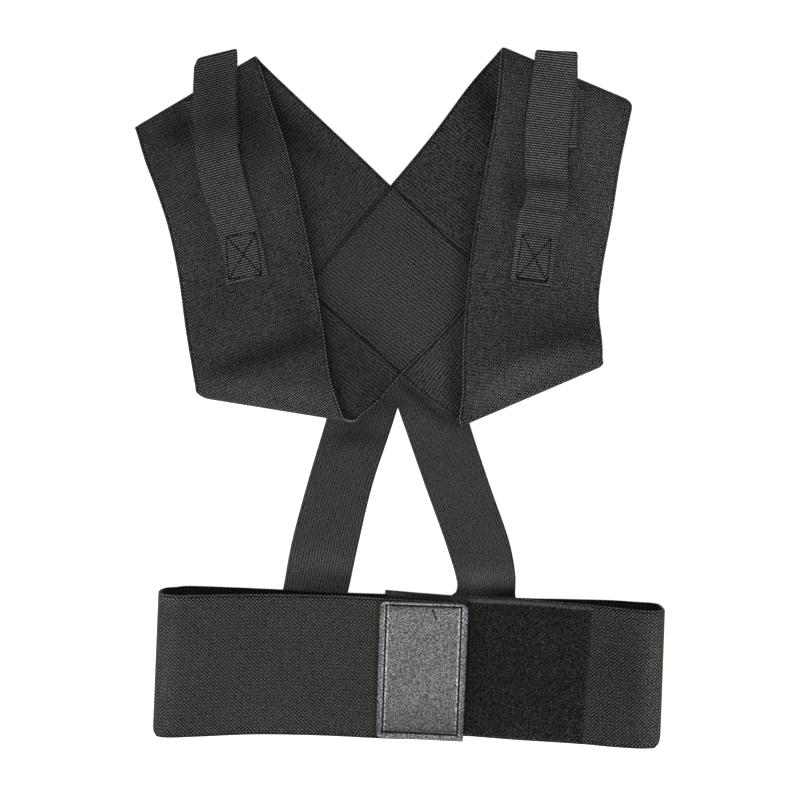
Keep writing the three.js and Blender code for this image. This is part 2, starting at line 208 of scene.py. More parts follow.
# Rungs across a strip, from its edge a to its edge b: ax, ay, bx, by, height, height at b if another
BACK_DOWN_RIGHT = [
    (-139, 143, -62, 200, BAND_LOW),
    (-101, 108, -33, 172.5, 1.6),
    (-65.5, 76, -5.5, 145.5, BACK_UNDER),
    (-31, 44.5, 28.5, 112, BACK_UNDER),
    (2, 13, 62.5, 79.5, BACK_UNDER),
    (24.5, -5.5, 102, 49, BACK_UNDER),
]
RIGHT_PANEL = [
    (43.5, 0, 140.5, 31, 15, 13),
    (44, 32, 137.2, 62, 17.5, 17),
    (47.5, 81, 139.6, 87, PANEL_TOP),
    (53, 120, 146, 121, 17),
    (60, 158.5, 152, 156, 14),
    (67, 197, 158, 182, 10, 9),
]
BACK_DOWN_LEFT = [
    (50.6, 218.5, 130, 164.5, BAND_LOW),
    (22.4, 180.7, 97, 123, 1.6, 2.2),
    (-5.5, 146, 62.5, 80, BACK_OVER),
    (-34.5, 112, 32.5, 45, BACK_OVER),
    (-65.5, 75, 2, 14.5, BACK_OVER),
    (-96, 41, -15.8, -5.2, 2.6, 4.4),
]
LEFT_PANEL = [
    (-142, 15, -47, 10, 14, 15),
    (-146.5, 44.5, -52, 44.5, 17, 17.5),
    (-151.5, 82, -59.5, 89, PANEL_TOP),
    (-158.5, 114.5, -68, 130.5, 17),
    (-168, 142.5, -78, 171.5, 14),
    (-176, 162, -88, 201.5, 9, 10),
]
BELT_LEFT = [
    (46, -143.5, 43, -239, LEFT_END),
    (16, -142, 13, -238, LEFT_END),
    (-15, -140.2, -18, -237, LEFT_END),
    (-38, -138.3, -41, -235, 15),
    (-68, -137, -71.5, -233.2, 18),
    (-98, -136.4, -102, -232.5, 20),
    (-136, -136.8, -139.5, -233.8, 21),
]
BELT_BACK = [
    (-150, -133.5, -153.5, -233.5, BAND_LOW),
    (-112, -134.6, -115.5, -232.5, BAND_LOW),
    (-97, -135, -100.5, -233, BAND_ON_STRAP),
    (-35, -137.9, -38.5, -235, BAND_ON_STRAP),
    (35, -140, 31.5, -237.5, BAND_ON_STRAP),
    (97, -142, 93.5, -240, BAND_ON_STRAP),
    (112, -142.5, 108.5, -240.5, BAND_LOW),
    (150, -143.5, 146.5, -242, BAND_LOW),
    (166, -144.6, 162.5, -242.5, BAND_LOW),
]
BELT_RIGHT = [
    (170, -148.4, 166, -243, BULGE_RIGHT),
    (152, -146.7, 148, -242.4, 15.2),
    (132, -145, 127, -241.3, 12),
    (84, -141.5, 78.5, -239.4, 7),
    (49.5, -140, 44, -237, RIGHT_END),
    (20, -138, 14.5, -235, RIGHT_END),
    (-9.5, -135.5, -15, -232.5, RIGHT_END),
]

# Strips, as runs of rungs and the folds between them
SHOULDER_BAND = [
    BACK_DOWN_RIGHT,
    Fold((43, -21.3), (141.2, 20.5), (BACK_UNDER, BAND_LOW), (HIP_INNER, HIP_OUTER), (0, -1.8)),
    RIGHT_PANEL,
    Fold((71.3, 242.2), (162.9, 203.6), SHOULDER_TOP, BAND_LOW, (1, 0.7)),
    BACK_DOWN_LEFT,
    Fold((-141.3, -0.7), (-34, -18), (BAND_LOW, 3.8), (HIP_OUTER, HIP_INNER), (0, 6.2)),
    LEFT_PANEL,
    Fold((-183.4, 186), (-99.2, 235.9), SHOULDER_TOP, BAND_LOW, (-0.8, -0.7)),
]
WAIST_BAND = [
    BELT_LEFT,
    Fold((-165.5, -135.2), (-169.5, -234.2), BULGE_LEFT, BAND_LOW, (1.4, 0)),
    BELT_BACK,
    Fold((183.4, -147), (180, -243.2), BAND_LOW, BULGE_RIGHT, (-1.6, 0)),
    BELT_RIGHT,
]
LOOP_PANEL = [[
    (132.7, -145.8, 126, -240.5, LOOP_LIFT),
    (84, -142.5, 78.5, -238.4, LOOP_LIFT),
    (49.5, -141, 44, -236, LOOP_LIFT),
    (-8.5, -136.5, -13.5, -231.5, LOOP_LIFT),
]]
STRAP_LEFT = [[
    (-33, 45, 12, 35, ON_TABLE),
    (-51, -17.5, -3.5, -17.5, ON_TABLE),
    (-64.5, -63, -18.5, -63, ON_TABLE),
    (-75.5, -105, -28.5, -105, ON_TABLE),
    (-81, -135, -35, -135, ON_TABLE),
    (-91.5, -178, -46, -182, ON_TABLE),
]]
STRAP_RIGHT = [[
    (-15.5, 33, 33, 45, ON_STRAP),
    (-0.5, -10, 46.5, -10, ON_STRAP, 1.8),
    (6.5, -30, 52.5, -30, ON_TABLE),
    (18, -63, 63.5, -63, ON_TABLE),
    (33, -105, 77.8, -105, ON_TABLE),
    (40.6, -131, 81.6, -127.5, ON_TABLE),
    (40.5, -135.4, 81.5, -132, ON_TABLE),
    (39.3, -138.3, 81.4, -136, ON_TABLE),
    (36.4, -140.4, 81.3, -139.5, ON_TABLE),
    (47, -182, 92, -178, ON_TABLE),
]]
WEBBING_LEFT = [
    [(-150.5, 201.5, -123.5, 214, LAYER_1)],
    Fold((-138.5, 166.5), (-109, 173), LAYER_1, LAYER_2),
    [(-141, 205, -111.5, 208, LAYER_2)],
    Fold((-141.6, 231.4), (-112, 238.4), LAYER_2, LAYER_3),
    [
        (-142, 207, -112, 210, LAYER_3),
        (-141, 183, -111, 178, LAYER_3),
        (-139, 163, -108.5, 162, LAYER_3),
        (-134.5, 138.5, -103, 140, LAYER_1),
        (-127.5, 120.5, -98, 122.5, LAYER_1),
        (-120, 93.5, -92, 97, LAYER_1),
        (-118, 76, -89, 81.5, LAYER_1),
    ],
]
WEBBING_RIGHT = [
    [(100.5, 222.5, 129, 210.5, LAYER_1)],
    Fold((93, 168.5), (122.5, 170.5), LAYER_1, LAYER_2),
    [(93.5, 208, 123.5, 207, LAYER_2)],
    Fold((94, 237.5), (123.5, 236), LAYER_2, LAYER_3),
    [
        (90.5, 210, 121, 208.5, LAYER_3),
        (87.5, 191.5, 118.5, 191.5, LAYER_3),
        (86, 163, 115.5, 163, LAYER_3),
        (87, 137, 116.5, 136, LAYER_1),
        (81.5, 122, 112.5, 120.5, LAYER_1),
        (78.5, 96, 108, 98, LAYER_1),
        (76, 79, 104.5, 74.5, LAYER_1),
    ],
]

# How far back from the tip of the waist band's right end the loop panel can lie
RIGHT_END_LENGTH = 190

# Flat tabs, corner by corner: x, y, radius
LEATHER_OUTLINE = [(-13, -142, 4.5), (48, -144.5, 4.5), (44, -239, 1), (-16, -236, 4.5)]
HOOK_OUTLINE = [(0, -150, 3), (42, -152, 3), (38, -229, 3), (-3, -227, 3)]

# Soft ridges pressed into the panels by lying: x, y of both ends, half-width, height
PANEL_RIDGES = [
    (-133, 8, -61, 37, 8, 3.4),
    (69, 20, 138, 40, 8, 3.0),
    (139, 87, 150, 150, 14, 1.6),
]
# How far they run past their ends and over how much they fade, as shares of their length
RIDGE_PAST = 0.3
RIDGE_FADE = 0.5
# Lowest z of the panels
PANEL_LEAST_Z = 8.5

# Corners of the folds that are rounded in plan: x, y, a point on either side, radius
ROUND_CORNERS = [
    (-141.8, -0.8, -144, 24, -34, -18, 14),
    (141.7, 20.6, 140.6, 45, 43, -21.3, 6),
    (163.4, 203.8, 158, 182, 71.3, 242.8, 10),
    (71.3, 242.4, 50.6, 218.5, 162.9, 203.6, 6),
    (-99.3, 236, -62, 200, -183, 186, 3),
]
BELT_CORNERS = [
    (-166, -134.2, -170, -233, -130, -134.2, 4),
    (-170.2, -234.8, -166, -140, -130, -234.5, 8),
    (184.2, -145.2, 180, -240, 150, -144.4, 7),
    (180.6, -243.6, 184, -150, 150, -243.6, 11),
]
WEBBING_CORNERS = [
    (-142, 231.8, -142, 207, -112, 238.4, 12),
    (94, 237.8, 90.5, 210, 123.5, 236.2, 3),
    (123.7, 236.2, 121, 208.5, 94, 237.8, 3),
]

# Painted light and shade: soft areas between a lowest and a highest z, painted darker for shadows and
# shaded creases and brighter where folds and edges catch the light: x, y, half-length, half-width, turn,
# gain
# Painted shade in the panel creases and beside raised edges and webbing; painted light on lit folds
BAND_PAINTED_SHADING = {
    (9, 30): [
        (-86, 28, 46, 9, 20, -0.55),
        (108, 45, 34, 15, 8, -0.34),
        (78, 139, 16, 9, 90, -0.4),
        (121, 137, 14, 6, 90, -0.25),
        (69, 158, 60, 10, 83, 0.34),
        (117, 100, 26, 8, 90, 0.2),
        (130, 36, 10, 8, 0, -0.3),
        (-68, 48, 22, 8, 100, -0.25),
        (80.5, 105, 28, 1.6, 79.3, -0.45),
    ],
    (5, 30): [
        (-80, -1, 58, 9, -7, 0.45),
        (-156, 128, 54, 14, 100, 0.32),
        (-151, 186, 24, 12, 30, -0.55),
        (80, 8, 46, 9, 23, 0.6),
        (138, 126, 46, 22, 80, 0.42),
        (-88, 140, 44, 10, 102, 0.25),
        (-103, 189, 28, 13, 110, -0.54),
        (134, 178, 34, 13, 80, 0.38),
        (-149, 180, 12, 8, 20, -0.25),
        (127.2, 192, 22, 1.5, 83.6, -0.3),
        (128, 187, 20, 8, 85, 0.15),
        (149, 180, 24, 5, 80, 0.25),
    ],
    (0, 30): [(41, -8, 16, 7, 100, -0.5)],
    (0, 9): [
        (-36, 27, 32, 26, 130, -0.42),
        (45.5, 85, 95, 7, 84.5, -0.4),
        (-14, 0, 26, 12, 42, -0.38),
        (40, 5, 30, 6, 95, -0.35),
        (28.5, 14, 16, 12, 95, 0.24),
    ],
    (6, 9): [(0, 80, 34, 34, 0, 0.2)],
    (4, 9): [(8, 40, 30, 24, 0, 0.18)],
    (0, 5): [(62, 203, 46, 13, 106, -0.66)],
    (0, 6): [(-72, 183, 34, 11, 135, -0.56)],
}
# Painted shade where the webbing dips, under its layers and beside its edges; painted highlights on rib
# ends
WEBBING_PAINTED_SHADING = {
    (0, 60): [
        (-126, 205, 48, 30, 90, -0.6),
        (-104, 95, 30, 30, 0, -0.2),
        (92, 92, 28, 26, 0, -0.2),
        (100, 144, 26, 6.5, -3, -0.72),
        (101, 126, 20, 1.4, -10, -0.55),
        (81, 96, 26, 3.5, 82, 0.5),
        (-117, 150, 22, 7, 8, -0.25),
        (-124, 187, 20, 8, 8, -0.4),
        (-144.8, 191, 12, 1.4, -69.6, -0.95),
        (119.4, 194.5, 24, 1.1, 83.6, -0.6),
        (124.4, 196, 16, 1.1, 86, -0.5),
        (-122, 138, 20, 18, 0, -0.1),
        (98, 120, 18, 14, 0, -0.1),
    ],
    (0, 12.3): [(-140, 190, 30, 14, 100, -0.15)],
    (0, 13.5): [(112, 195, 34, 14, 80, -0.3)],
}
# Painted shadow beside the leather patch; painted light along the pile's upper and lower edges
LOOP_PAINTED_SHADING = {
    (0, 30): [
        (18, -138, 40, 6, -2, 0.9),
        (50, -190, 60, 8, 88, -0.3),
        (46, -191, 60, 2.2, 88, -0.5),
        (90, -237, 50, 5, -2, 0.5),
    ],
}
# Painted shade on the brushed edge beside the patch
BRUSHED_PAINTED_SHADE = {(0, 30): [(22, -139, 20, 9, -3, -0.75)]}
# Painted shade on the beads of shaded edges
BEAD_PAINTED_SHADE = {(9, 60): [(50, 110, 150, 22, 98, -0.6)], (0, 9): [(32, 47, 60, 12, 47, -0.6)]}
# Painted light on the waist band's upper edges
HEM_PAINTED_LIGHT = {(5, 60): [(-90, -137, 120, 8, -1, 0.5), (-28, -140, 26, 6, -2, 0.8)]}
# Painted shade under the band edges and hip fold; painted light that lifts the waist band's shadow at the
# straps' feet
STRAP_PAINTED_SHADING = {
    (0, 9): [
        (-21, -13, 26, 7, 42, -0.3),
        (-27, -30, 22, 7, 0, -0.4),
        (14, -3, 24, 4, -41, -0.5),
        (-2, -9, 10, 8, 0, -0.35),
        (40, -16, 14, 8, -20, -0.45),
        (-57, -125, 34, 14, 0, 0.9),
        (60, -127, 30, 8, 0, 0.5),
        (-77, -127, 10, 16, 0, 0.4),
        (79, -138.5, 16, 3.2, 4, -0.75),
        (50, -131, 10, 6, 0, 0.3),
    ],
}
# Painted light on the lit folds and upper edge; painted shadow beside the leather patch
BELT_PAINTED_SHADING = {
    (5, 30): [
        (-160, -186, 60, 9, 88, 0.4),
        (-158, -138, 14, 5, 0, 0.45),
        (150, -192, 60, 34, 88, -0.3),
        (-15.2, -189, 60, 1.6, 88, -0.65),
    ],
    (3, 30): [(177, -192, 60, 9, 88, 1.0)],
    (0, 5): [(-28, -137.2, 32, 2.2, -2, 1.6)],
}

# Sewn lines: the diamond's two across the upper band, the corners of the box stitches and the patch
DIAMOND_SEAMS = [((-5.5, 146), (62.5, 80)), ((-65.5, 75), (2, 14.5))]
BOX_LEFT = [(-118.2, 108.2), (-97.6, 110.8), (-93.7, 82.0), (-116.5, 78.8)]
BOX_RIGHT = [(84.4, 109.8), (104.0, 106.3), (101.3, 76.9), (80.1, 80.0)]
PATCH_SEAM = [(-8.5, -144.6), (43.2, -146.4), (39.9, -234.4), (-11.6, -231.8)]
LOOSE_END = [(22.8, -147.8), (23.9, -150.2), (24.8, -152.7), (26, -155.1)]

# A painted shadow: dark thread laid beside the upper band's lower edge in the diamond, where only shadow
# falls; its offset from that edge
SHADOW_LINE_OFFSET = np.array([0.45, -0.42])

DIAMOND_THREADS = Stitch(pitch=3.0, length=3.2, radius=0.7, sunk=0.1, dive=0.6)
BOX_THREADS = Stitch(pitch=2.8, length=2.6, radius=0.5)
HEM_THREADS = Stitch(pitch=1.7, length=1.7, radius=0.3)
PATCH_THREADS = Stitch(pitch=3.3, length=3.4, radius=0.58, sunk=0.1, dive=0.6, slant=0.2)
LOOSE_THREADS = Stitch(pitch=2.6, length=2.8, radius=0.55, sunk=0.2, dive=0.4)

# Share of the webbing's width that its hem leaves free on either side
HEM_INSET = 0.03

# The diamond's cloth beside its seams: depth and half-width of the groove, then height, distance and
# half-width of the swelling and of the puckers, and how many puckers a seam has
SEAM_GROOVE = (0.34, 0.75)
SEAM_SWELL = (0.20, 2.6, 1.5)
SEAM_PUCKER = (0.16, 3.0, 2.2)
PUCKERS = 13
# How far past its ends a seam draws the cloth in, as a share of it, and how near BACK_OVER that lies
SEAM_PAST = 0.02
DIAMOND_REACH = 1.2
# Where the upper band's edge is sewn down (x less y), how near its height, and that of the lower band
SEWN_SIDE = -80
NEAR_OVER = 0.5
NEAR_UNDER = 0.1
# Lowest z of the waist band's upper layer
UPPER_LAYER = 5

# The leather beside its seam: half-width of the groove, then place and half-width of the swellings
PATCH_GROOVE = 0.55
INNER_SWELL = (1.25, 0.42)
OUTER_SWELL = (-1.15, 0.5)
PATCH_SEAM_PAST = 0.015
SWELL_HEIGHT = 0.3
GROOVE_DEPTH = 0.6
# Painted shade in the seam's groove: how much it darkens
GROOVE_SHADE = 0.75
# Painted highlights on the swellings beside the seam, on the top, right, lower and left side: inside,
# outside
SEAM_HIGHLIGHTS = [(0.0, 2.5), (3.2, 1.4), (0.0, 0.9), (3.6, 1.8)]

# Brushed loops of the pile: how many, how far in from the upper edge, and the seed of their places
FUZZ = (12000, PILE_WIDTH, 7)
BRUSHED_FUZZ = (2600, 2.4, 11)
FUZZ_SEGMENTS = 4
FUZZ_ROOT = 0.25

# Camera, table and studio light, in metres: each light has its place, size and power
PICTURE_SPAN = 0.56
CAMERA_PLACE = (0.0007, -0.0035, 0.9)
SENSOR_WIDTH = 36.0
TABLE_HALF = 3.0
TABLE_DROP = -0.0004
WORLD_STRENGTH = 0.25
LIGHTS = {"key": ((-0.5, -2.25, 1.75), 1.6, 96), "top": ((0.2, 0.3, 2.6), 1.8, 31)}


class Strip:
    """A woven strip: two smooth edges through its rungs, with the cloth's own lengths along them."""

    def __init__(self, stretches, width, closed=False):
        self.a, self.b = self.rungs(stretches)
        self.width = width
        self.closed = closed
        self.spans = len(self.a) - (0 if closed else 1)
        self.dense = np.linspace(0, self.spans, self.spans * DENSE_STEPS + 1)
        edges = [self.edge(self.a, self.dense), self.edge(self.b, self.dense)]
        self.lengths = [self.arc(edge) for edge in edges]
        self.middle = self.arc((edges[0] + edges[1]) / 2)
        self.length = self.middle[-1]
        self.slant = self.edge_shift(edges)

    @staticmethod
    def rungs(stretches):
        """Points of edge a and edge b, through runs of rungs and the folds between them."""
        edges = [np.empty((0, 3)), np.empty((0, 3))]
        for stretch in stretches:
            if isinstance(stretch, Fold):
                more = stretch.rungs(edges)
            else:
                more = [
                    [(ax, ay, heights[0]) for ax, ay, bx, by, *heights in stretch],
                    [(bx, by, heights[-1]) for ax, ay, bx, by, *heights in stretch],
                ]
            edges = [np.vstack(pair) for pair in zip(edges, more)]
        return edges

    @staticmethod
    def arc(points):
        steps = np.linalg.norm(np.diff(points, axis=0), axis=1)
        return np.concatenate([[0], np.cumsum(steps)])

    def edge(self, points, t):
        """Centripetal Catmull-Rom curve, never higher or lower than the two rungs it runs between."""
        n = len(points)
        k = np.minimum(t.astype(int), self.spans - 1)
        w = (t - k)[:, None]
        if self.closed:
            p0, p1, p2, p3 = (points[(k + i) % n] for i in (-1, 0, 1, 2))
        else:
            ends = np.vstack([2 * points[0] - points[1], points, 2 * points[-1] - points[-2]])
            p0, p1, p2, p3 = (ends[k + i] for i in (0, 1, 2, 3))
        d0, d1, d2 = (
            np.sqrt(np.linalg.norm(q - p, axis=1))[:, None]
            for p, q in ((p0, p1), (p1, p2), (p2, p3))
        )
        m1 = ((p1 - p0) / d0 - (p2 - p0) / (d0 + d1) + (p2 - p1) / d1) * d1
        m2 = ((p2 - p1) / d1 - (p3 - p1) / (d1 + d2) + (p3 - p2) / d2) * d1
        bend = (3 * (p2 - p1) - 2 * m1 - m2) * w**2 + (2 * (p1 - p2) + m1 + m2) * w**3
        curve = p1 + m1 * w + bend
        curve[:, 2] = np.clip(curve[:, 2], np.minimum(p1, p2)[:, 2], np.maximum(p1, p2)[:, 2])
        return curve

    def edge_shift(self, edges):
        """How far edge b's lengths lead edge a's, so that equal lengths lie square across the strip."""
        heading = unit(np.gradient((edges[0] + edges[1]) / 2, axis=0))
        lead = np.einsum("ij,ij->i", edges[1] - edges[0], heading)
        level = np.abs(heading[:, 2]) < LEVEL_RISE
        return float(np.median((self.lengths[0] - self.lengths[1] + lead)[level]))

    def rows(self, step, fine=()):
        """Places along the strip, evenly spaced, with more of them beside the rungs in fine."""
        count = max(2, round(self.length / step))
        places = np.linspace(0, self.length, count + 1)
        if self.closed:
            places = places[:-1]
        for rung in fine:
            here = np.interp(rung, self.dense, self.middle)
            places = places[np.abs(places - here) > SEAM_ROWS[-1] + step / 3]
            places = np.concatenate([places, here + SEAM_ROWS, here - SEAM_ROWS[1:]])
        return np.interp(np.sort(places), self.middle, self.dense)

    def grid(self, t, across):
        """Middle surface over rows t and places across, with the cloth's v at each point."""
        share = (np.asarray(across) / self.width)[None, :, None]
        a, b = self.edge(self.a, t)[:, None, :], self.edge(self.b, t)[:, None, :]
        va = np.interp(t, self.dense, self.lengths[0])[:, None]
        vb = np.interp(t, self.dense, self.lengths[1])[:, None] + self.slant
        return a + (b - a) * share, va + (vb - va) * share[:, :, 0]


def normals(points, closed):
    """Unit normals of a middle surface, along the strip crossed with across it."""
    if closed:
        along = np.roll(points, -1, axis=0) - np.roll(points, 1, axis=0)
    else:
        along = np.gradient(points, axis=0)
    return unit(np.cross(along, np.gradient(points, axis=1)))


def painted_shading_of(points, areas):
    """Painted light and shade at points: one, but for soft oval areas between a lowest and a highest z.
    """
    tone = np.ones(len(points))
    for (low, high), rows in dict(areas).items():
        inside = (points[:, 2] > low) & (points[:, 2] < high)
        for x, y, half_length, half_width, turn, gain in rows:
            c, s = math.cos(math.radians(turn)), math.sin(math.radians(turn))
            dx, dy = points[:, 0] - x, points[:, 1] - y
            reach = ((dx * c + dy * s) / half_length) ** 2 + ((dy * c - dx * s) / half_width) ** 2
            tone *= np.where(inside, 1 + gain * np.exp(-reach), 1)
    return tone


def mesh_piece(name, vertices, faces, uvs, materials, slots=None, areas=(), painted_light=1.0):
    """A smooth mesh object in metres, from millimetre points, with one UV for each face corner.

    The areas and the last factor paint light and shade into the material at each point.
    """
    vertices = np.asarray(vertices, float)
    mesh = bpy.data.meshes.new(name)
    mesh.from_pydata((vertices * MM).tolist(), [], faces)
    layer = mesh.uv_layers.new(name="cloth")
    layer.data.foreach_set("uv", (np.asarray(uvs, np.float32) * MM).ravel())
    # The tone attribute carries the painted light and shade, read by the materials
    tone = mesh.attributes.new(name="tone", type="FLOAT", domain="POINT")
    tone.data.foreach_set("value", painted_shading_of(vertices, areas) * painted_light)
    for material in materials:
        mesh.materials.append(material)
    if slots is not None:
        mesh.polygons.foreach_set("material_index", np.asarray(slots, np.int32))
    mesh.polygons.foreach_set("use_smooth", np.ones(len(mesh.polygons), bool))
    mesh.update()
    piece = bpy.data.objects.new(name, mesh)
    bpy.context.collection.objects.link(piece)
    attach(piece, "root")
    return piece


def quads(*corners):
    """Four-cornered faces from arrays of their first to fourth corners."""
    return np.stack(corners, -1).reshape(-1, 4)


def solid_piece(name, upper, lower, uv, materials, areas=(), painted_light=1.0, cut_ends=False):
    """Closed solid between two grids of points; its lower faces have the last material.

    With one row more in uv than in the grids, the solid is a loop that ends in its first row.
    On cut ends the weave runs straight across, at the v of edge a.
    """
    points = upper[..., 0].size
    top = np.arange(uv[..., 0].size).reshape(uv.shape[:2])
    bottom = top + top.size
    groups = [
        quads(bottom[:-1, :-1], bottom[:-1, 1:], bottom[1:, 1:], bottom[1:, :-1]),
        quads(top[:-1, :-1], top[1:, :-1], top[1:, 1:], top[:-1, 1:]),
        quads(top[:-1, 0], bottom[:-1, 0], bottom[1:, 0], top[1:, 0]),
        quads(top[:-1, -1], top[1:, -1], bottom[1:, -1], bottom[:-1, -1]),
    ]
    if top.size == points:
        groups += [
            quads(top[0, :-1], top[0, 1:], bottom[0, 1:], bottom[0, :-1]),
            quads(top[-1, :-1], bottom[-1, :-1], bottom[-1, 1:], top[-1, 1:]),
        ]
    corners = np.vstack(groups)
    slots = np.where(np.arange(len(corners)) < len(groups[0]), len(materials) - 1, 0)
    layer, place = np.divmod(corners, top.size)
    faces = layer * points + place % points
    uvs = np.tile(uv.reshape(-1, 2), (2, 1))[corners]
    if cut_ends:
        end = len(groups[-1])
        uvs[-2 * end:-end, :, 1] = uv[0, 0, 1]
        uvs[-end:, :, 1] = uv[-1, 0, 1]
    vertices = np.vstack([upper.reshape(-1, 3), lower.reshape(-1, 3)])
    return mesh_piece(name, vertices, faces.tolist(), uvs, materials, slots, areas, painted_light)


def sheet_piece(name, strip, t, across, thickness, materials, relief, below=None, settle=None, areas=()):
    """Closed cloth solid about a strip's middle surface, with rounded edges and raised weave.

    Gives the piece and its middle surface.
    """
    points, v = strip.grid(t, across)
    if below is not None:
        points[..., 2] += [[below(x, y) for x, y, _ in row] for row in points]
    if settle is not None:
        points = settle(points, normals(points, strip.closed))
    normal = normals(points, strip.closed)
    u = np.broadcast_to(across, v.shape)
    rounding = np.clip(np.minimum(u, strip.width - u) / (EDGE_ROUNDING * thickness), 0, 1)
    half = thickness / 2 * (RIM_SHARE + (1 - RIM_SHARE) * np.sqrt(1 - (1 - rounding) ** 2))
    upper = points + normal * (half + relief(u, v, 1))[..., None]
    lower = points - normal * (half + relief(u, v, -1))[..., None]
    if strip.closed:
        _, loop_end_v = strip.grid(np.array([strip.spans]), across)
        v = np.vstack([v, loop_end_v])
    uv = np.stack([np.broadcast_to(across, v.shape), v], -1)
    piece = solid_piece(name, upper, lower, uv, materials, areas, cut_ends=not strip.closed)
    return piece, points


def height_on(vertices, faces, floor=0.0, sky=SKY):
    """A function that gives the height of the highest face between floor and sky at a place."""
    tree = BVHTree.FromPolygons(vertices.tolist(), faces)

    def height(x, y):
        hit = tree.ray_cast(Vector((x, y, sky)), Vector((0, 0, -1)))[0]
        return floor if hit is None else max(floor, hit.z)

    return height


def top_of(piece, sky=SKY):
    """A function that gives the height of a piece's highest face below sky at a place."""
    mesh = piece.data
    points = np.zeros(len(mesh.vertices) * 3, np.float32)
    mesh.vertices.foreach_get("co", points)
    return height_on(points.reshape(-1, 3) / MM, [list(p.vertices) for p in mesh.polygons], sky=sky)


def middle_height(points, closed, floor):
    """A function that gives the height of a middle surface at a place, or the floor's if it's higher."""
    index = np.arange(points[..., 0].size).reshape(points.shape[:2])
    if closed:
        index = np.vstack([index, index[:1]])
    faces = quads(index[:-1, :-1], index[1:, :-1], index[1:, 1:], index[:-1, 1:])
    return height_on(points.reshape(-1, 3), faces.tolist(), floor)


class Value:
    """A number or colour in a shader graph, whose arithmetic adds math nodes."""

    def __init__(self, graph, socket):
        self.graph = graph
        self.socket = socket

    def __add__(self, other):
        return self.graph.math("ADD", self, other)

    def __sub__(self, other):
        return self.graph.math("SUBTRACT", self, other)

    def __rsub__(self, other):
        return self.graph.math("SUBTRACT", other, self)

    def __mul__(self, other):
        return self.graph.math("MULTIPLY", self, other)

    def __truediv__(self, other):
        return self.graph.math("DIVIDE", self, other)


class Graph:
    """Adds shader nodes to a new material and links them."""

    def __init__(self, name):
        self.material = bpy.data.materials.new(name)
        self.material.use_nodes = True
        self.tree = self.material.node_tree
        self.tree.nodes.clear()

    def node(self, kind, inputs, **settings):
        """A new node with its settings, and with values or links put into its inputs."""
        node = self.tree.nodes.new(kind)
        for key, value in settings.items():
            setattr(node, key, value)
        for key, value in inputs.items():
            if isinstance(value, Value):
                self.tree.links.new(value.socket, node.inputs[key])
            else:
                node.inputs[key].default_value = value
        return node

    def value(self, kind, inputs, output=0, **settings):
        """An output of a new node."""
        return Value(self, self.node(kind, inputs, **settings).outputs[output])

    def math(self, operation, *values):
        return self.value("ShaderNodeMath", dict(enumerate(values)), operation=operation)

    def parts(self, vector):
        """The coordinates of a vector."""
        node = self.node("ShaderNodeSeparateXYZ", {0: vector})
        return [Value(self, output) for output in node.outputs]

    def cloth(self):
        """The u and v of the cloth, in millimetres."""
        u, v, _ = self.parts(self.value("ShaderNodeUVMap", {}, uv_map="cloth"))
        return u / MM, v / MM

    def space(self):
        """A place in the object's own space, in metres."""
        return self.value("ShaderNodeTexCoord", {}, "Object")

    def noise(self, size, detail):
        """Noise from 0 to 1 in the object's own space, with features of a size in millimetres."""
        inputs = {
            "Vector": self.space(), "Scale": 1 / (size * MM), "Detail": detail, "Roughness": 0.5,
            "Distortion": 0.0,
        }
        return self.value("ShaderNodeTexNoise", inputs, "Fac")

    def flecks(self, size):
        """Fine noise about zero."""
        return self.noise(size, 1.0) - 0.5

    def wander(self, place, size, reach):
        """A place in millimetres, moved a little by noise."""
        return self.flecks(size) * reach + place

    def toned(self, weave, contrast):
        """Brightness about one, from a weave about zero, with slow changes over the cloth and the painted
        light and shade of the tone attribute.
        """
        slow = (self.noise(26, 3.0) - 0.5) * 0.35 + 1.0
        painted_shading = self.value("ShaderNodeAttribute", {}, "Fac", attribute_name="tone")
        limits = (LEAST_TONE, MOST_TONE)
        tone = self.spread(weave * contrast + 1.0, *limits, *limits, kind="LINEAR")
        return tone * (slow * painted_shading)

    def dyed(self, tone, level, warm=0.06):
        """A grey of a mean level, at a brightness about one."""
        return self.blend(tone / MOST_TONE, (0, 0, 0, 1), grey(MOST_TONE * level, warm))

    def wave(self, place, repeat):
        """A cosine of a place in millimetres."""
        return self.math("COSINE", place * (2 * math.pi / repeat))

    def spread(self, value, low, high, to_low=0.0, to_high=1.0, kind="SMOOTHSTEP"):
        """A value carried from one range to another, held at its ends."""
        inputs = {
            "Value": value, "From Min": low, "From Max": high, "To Min": to_low, "To Max": to_high,
        }
        return self.value("ShaderNodeMapRange", inputs, "Result", interpolation_type=kind, clamp=True)

    def blend(self, share, first, second):
        """A colour between two."""
        return self.value("ShaderNodeMix", {0: share, 6: first, 7: second}, 2, data_type="RGBA")

    def bump(self, height, distance, strength):
        """Normals of a surface raised by a height times a distance in millimetres."""
        inputs = {"Height": height, "Distance": distance * MM, "Strength": strength}
        return self.value("ShaderNodeBump", inputs, "Normal")

    def finish(self, colour, normal, roughness, specular, sheen=0.0, glow=0.0):
        """The material with its one shader."""
        inputs = {
            "Base Color": colour, "Normal": normal, "Roughness": roughness,
            "Specular IOR Level": specular, "Sheen Weight": sheen, "Sheen Roughness": 0.45,
            "Emission Color": (1, 1, 1, 1), "Emission Strength": glow,
        }
        shader = self.value("ShaderNodeBsdfPrincipled", inputs)
        self.node("ShaderNodeOutputMaterial", {"Surface": shader})
        return self.material


def grey(level, warm):
    """A slightly warm grey as a colour."""
    return (level, level * (1 + warm * 0.1), level * (1 - warm * 1.25), 1.0)


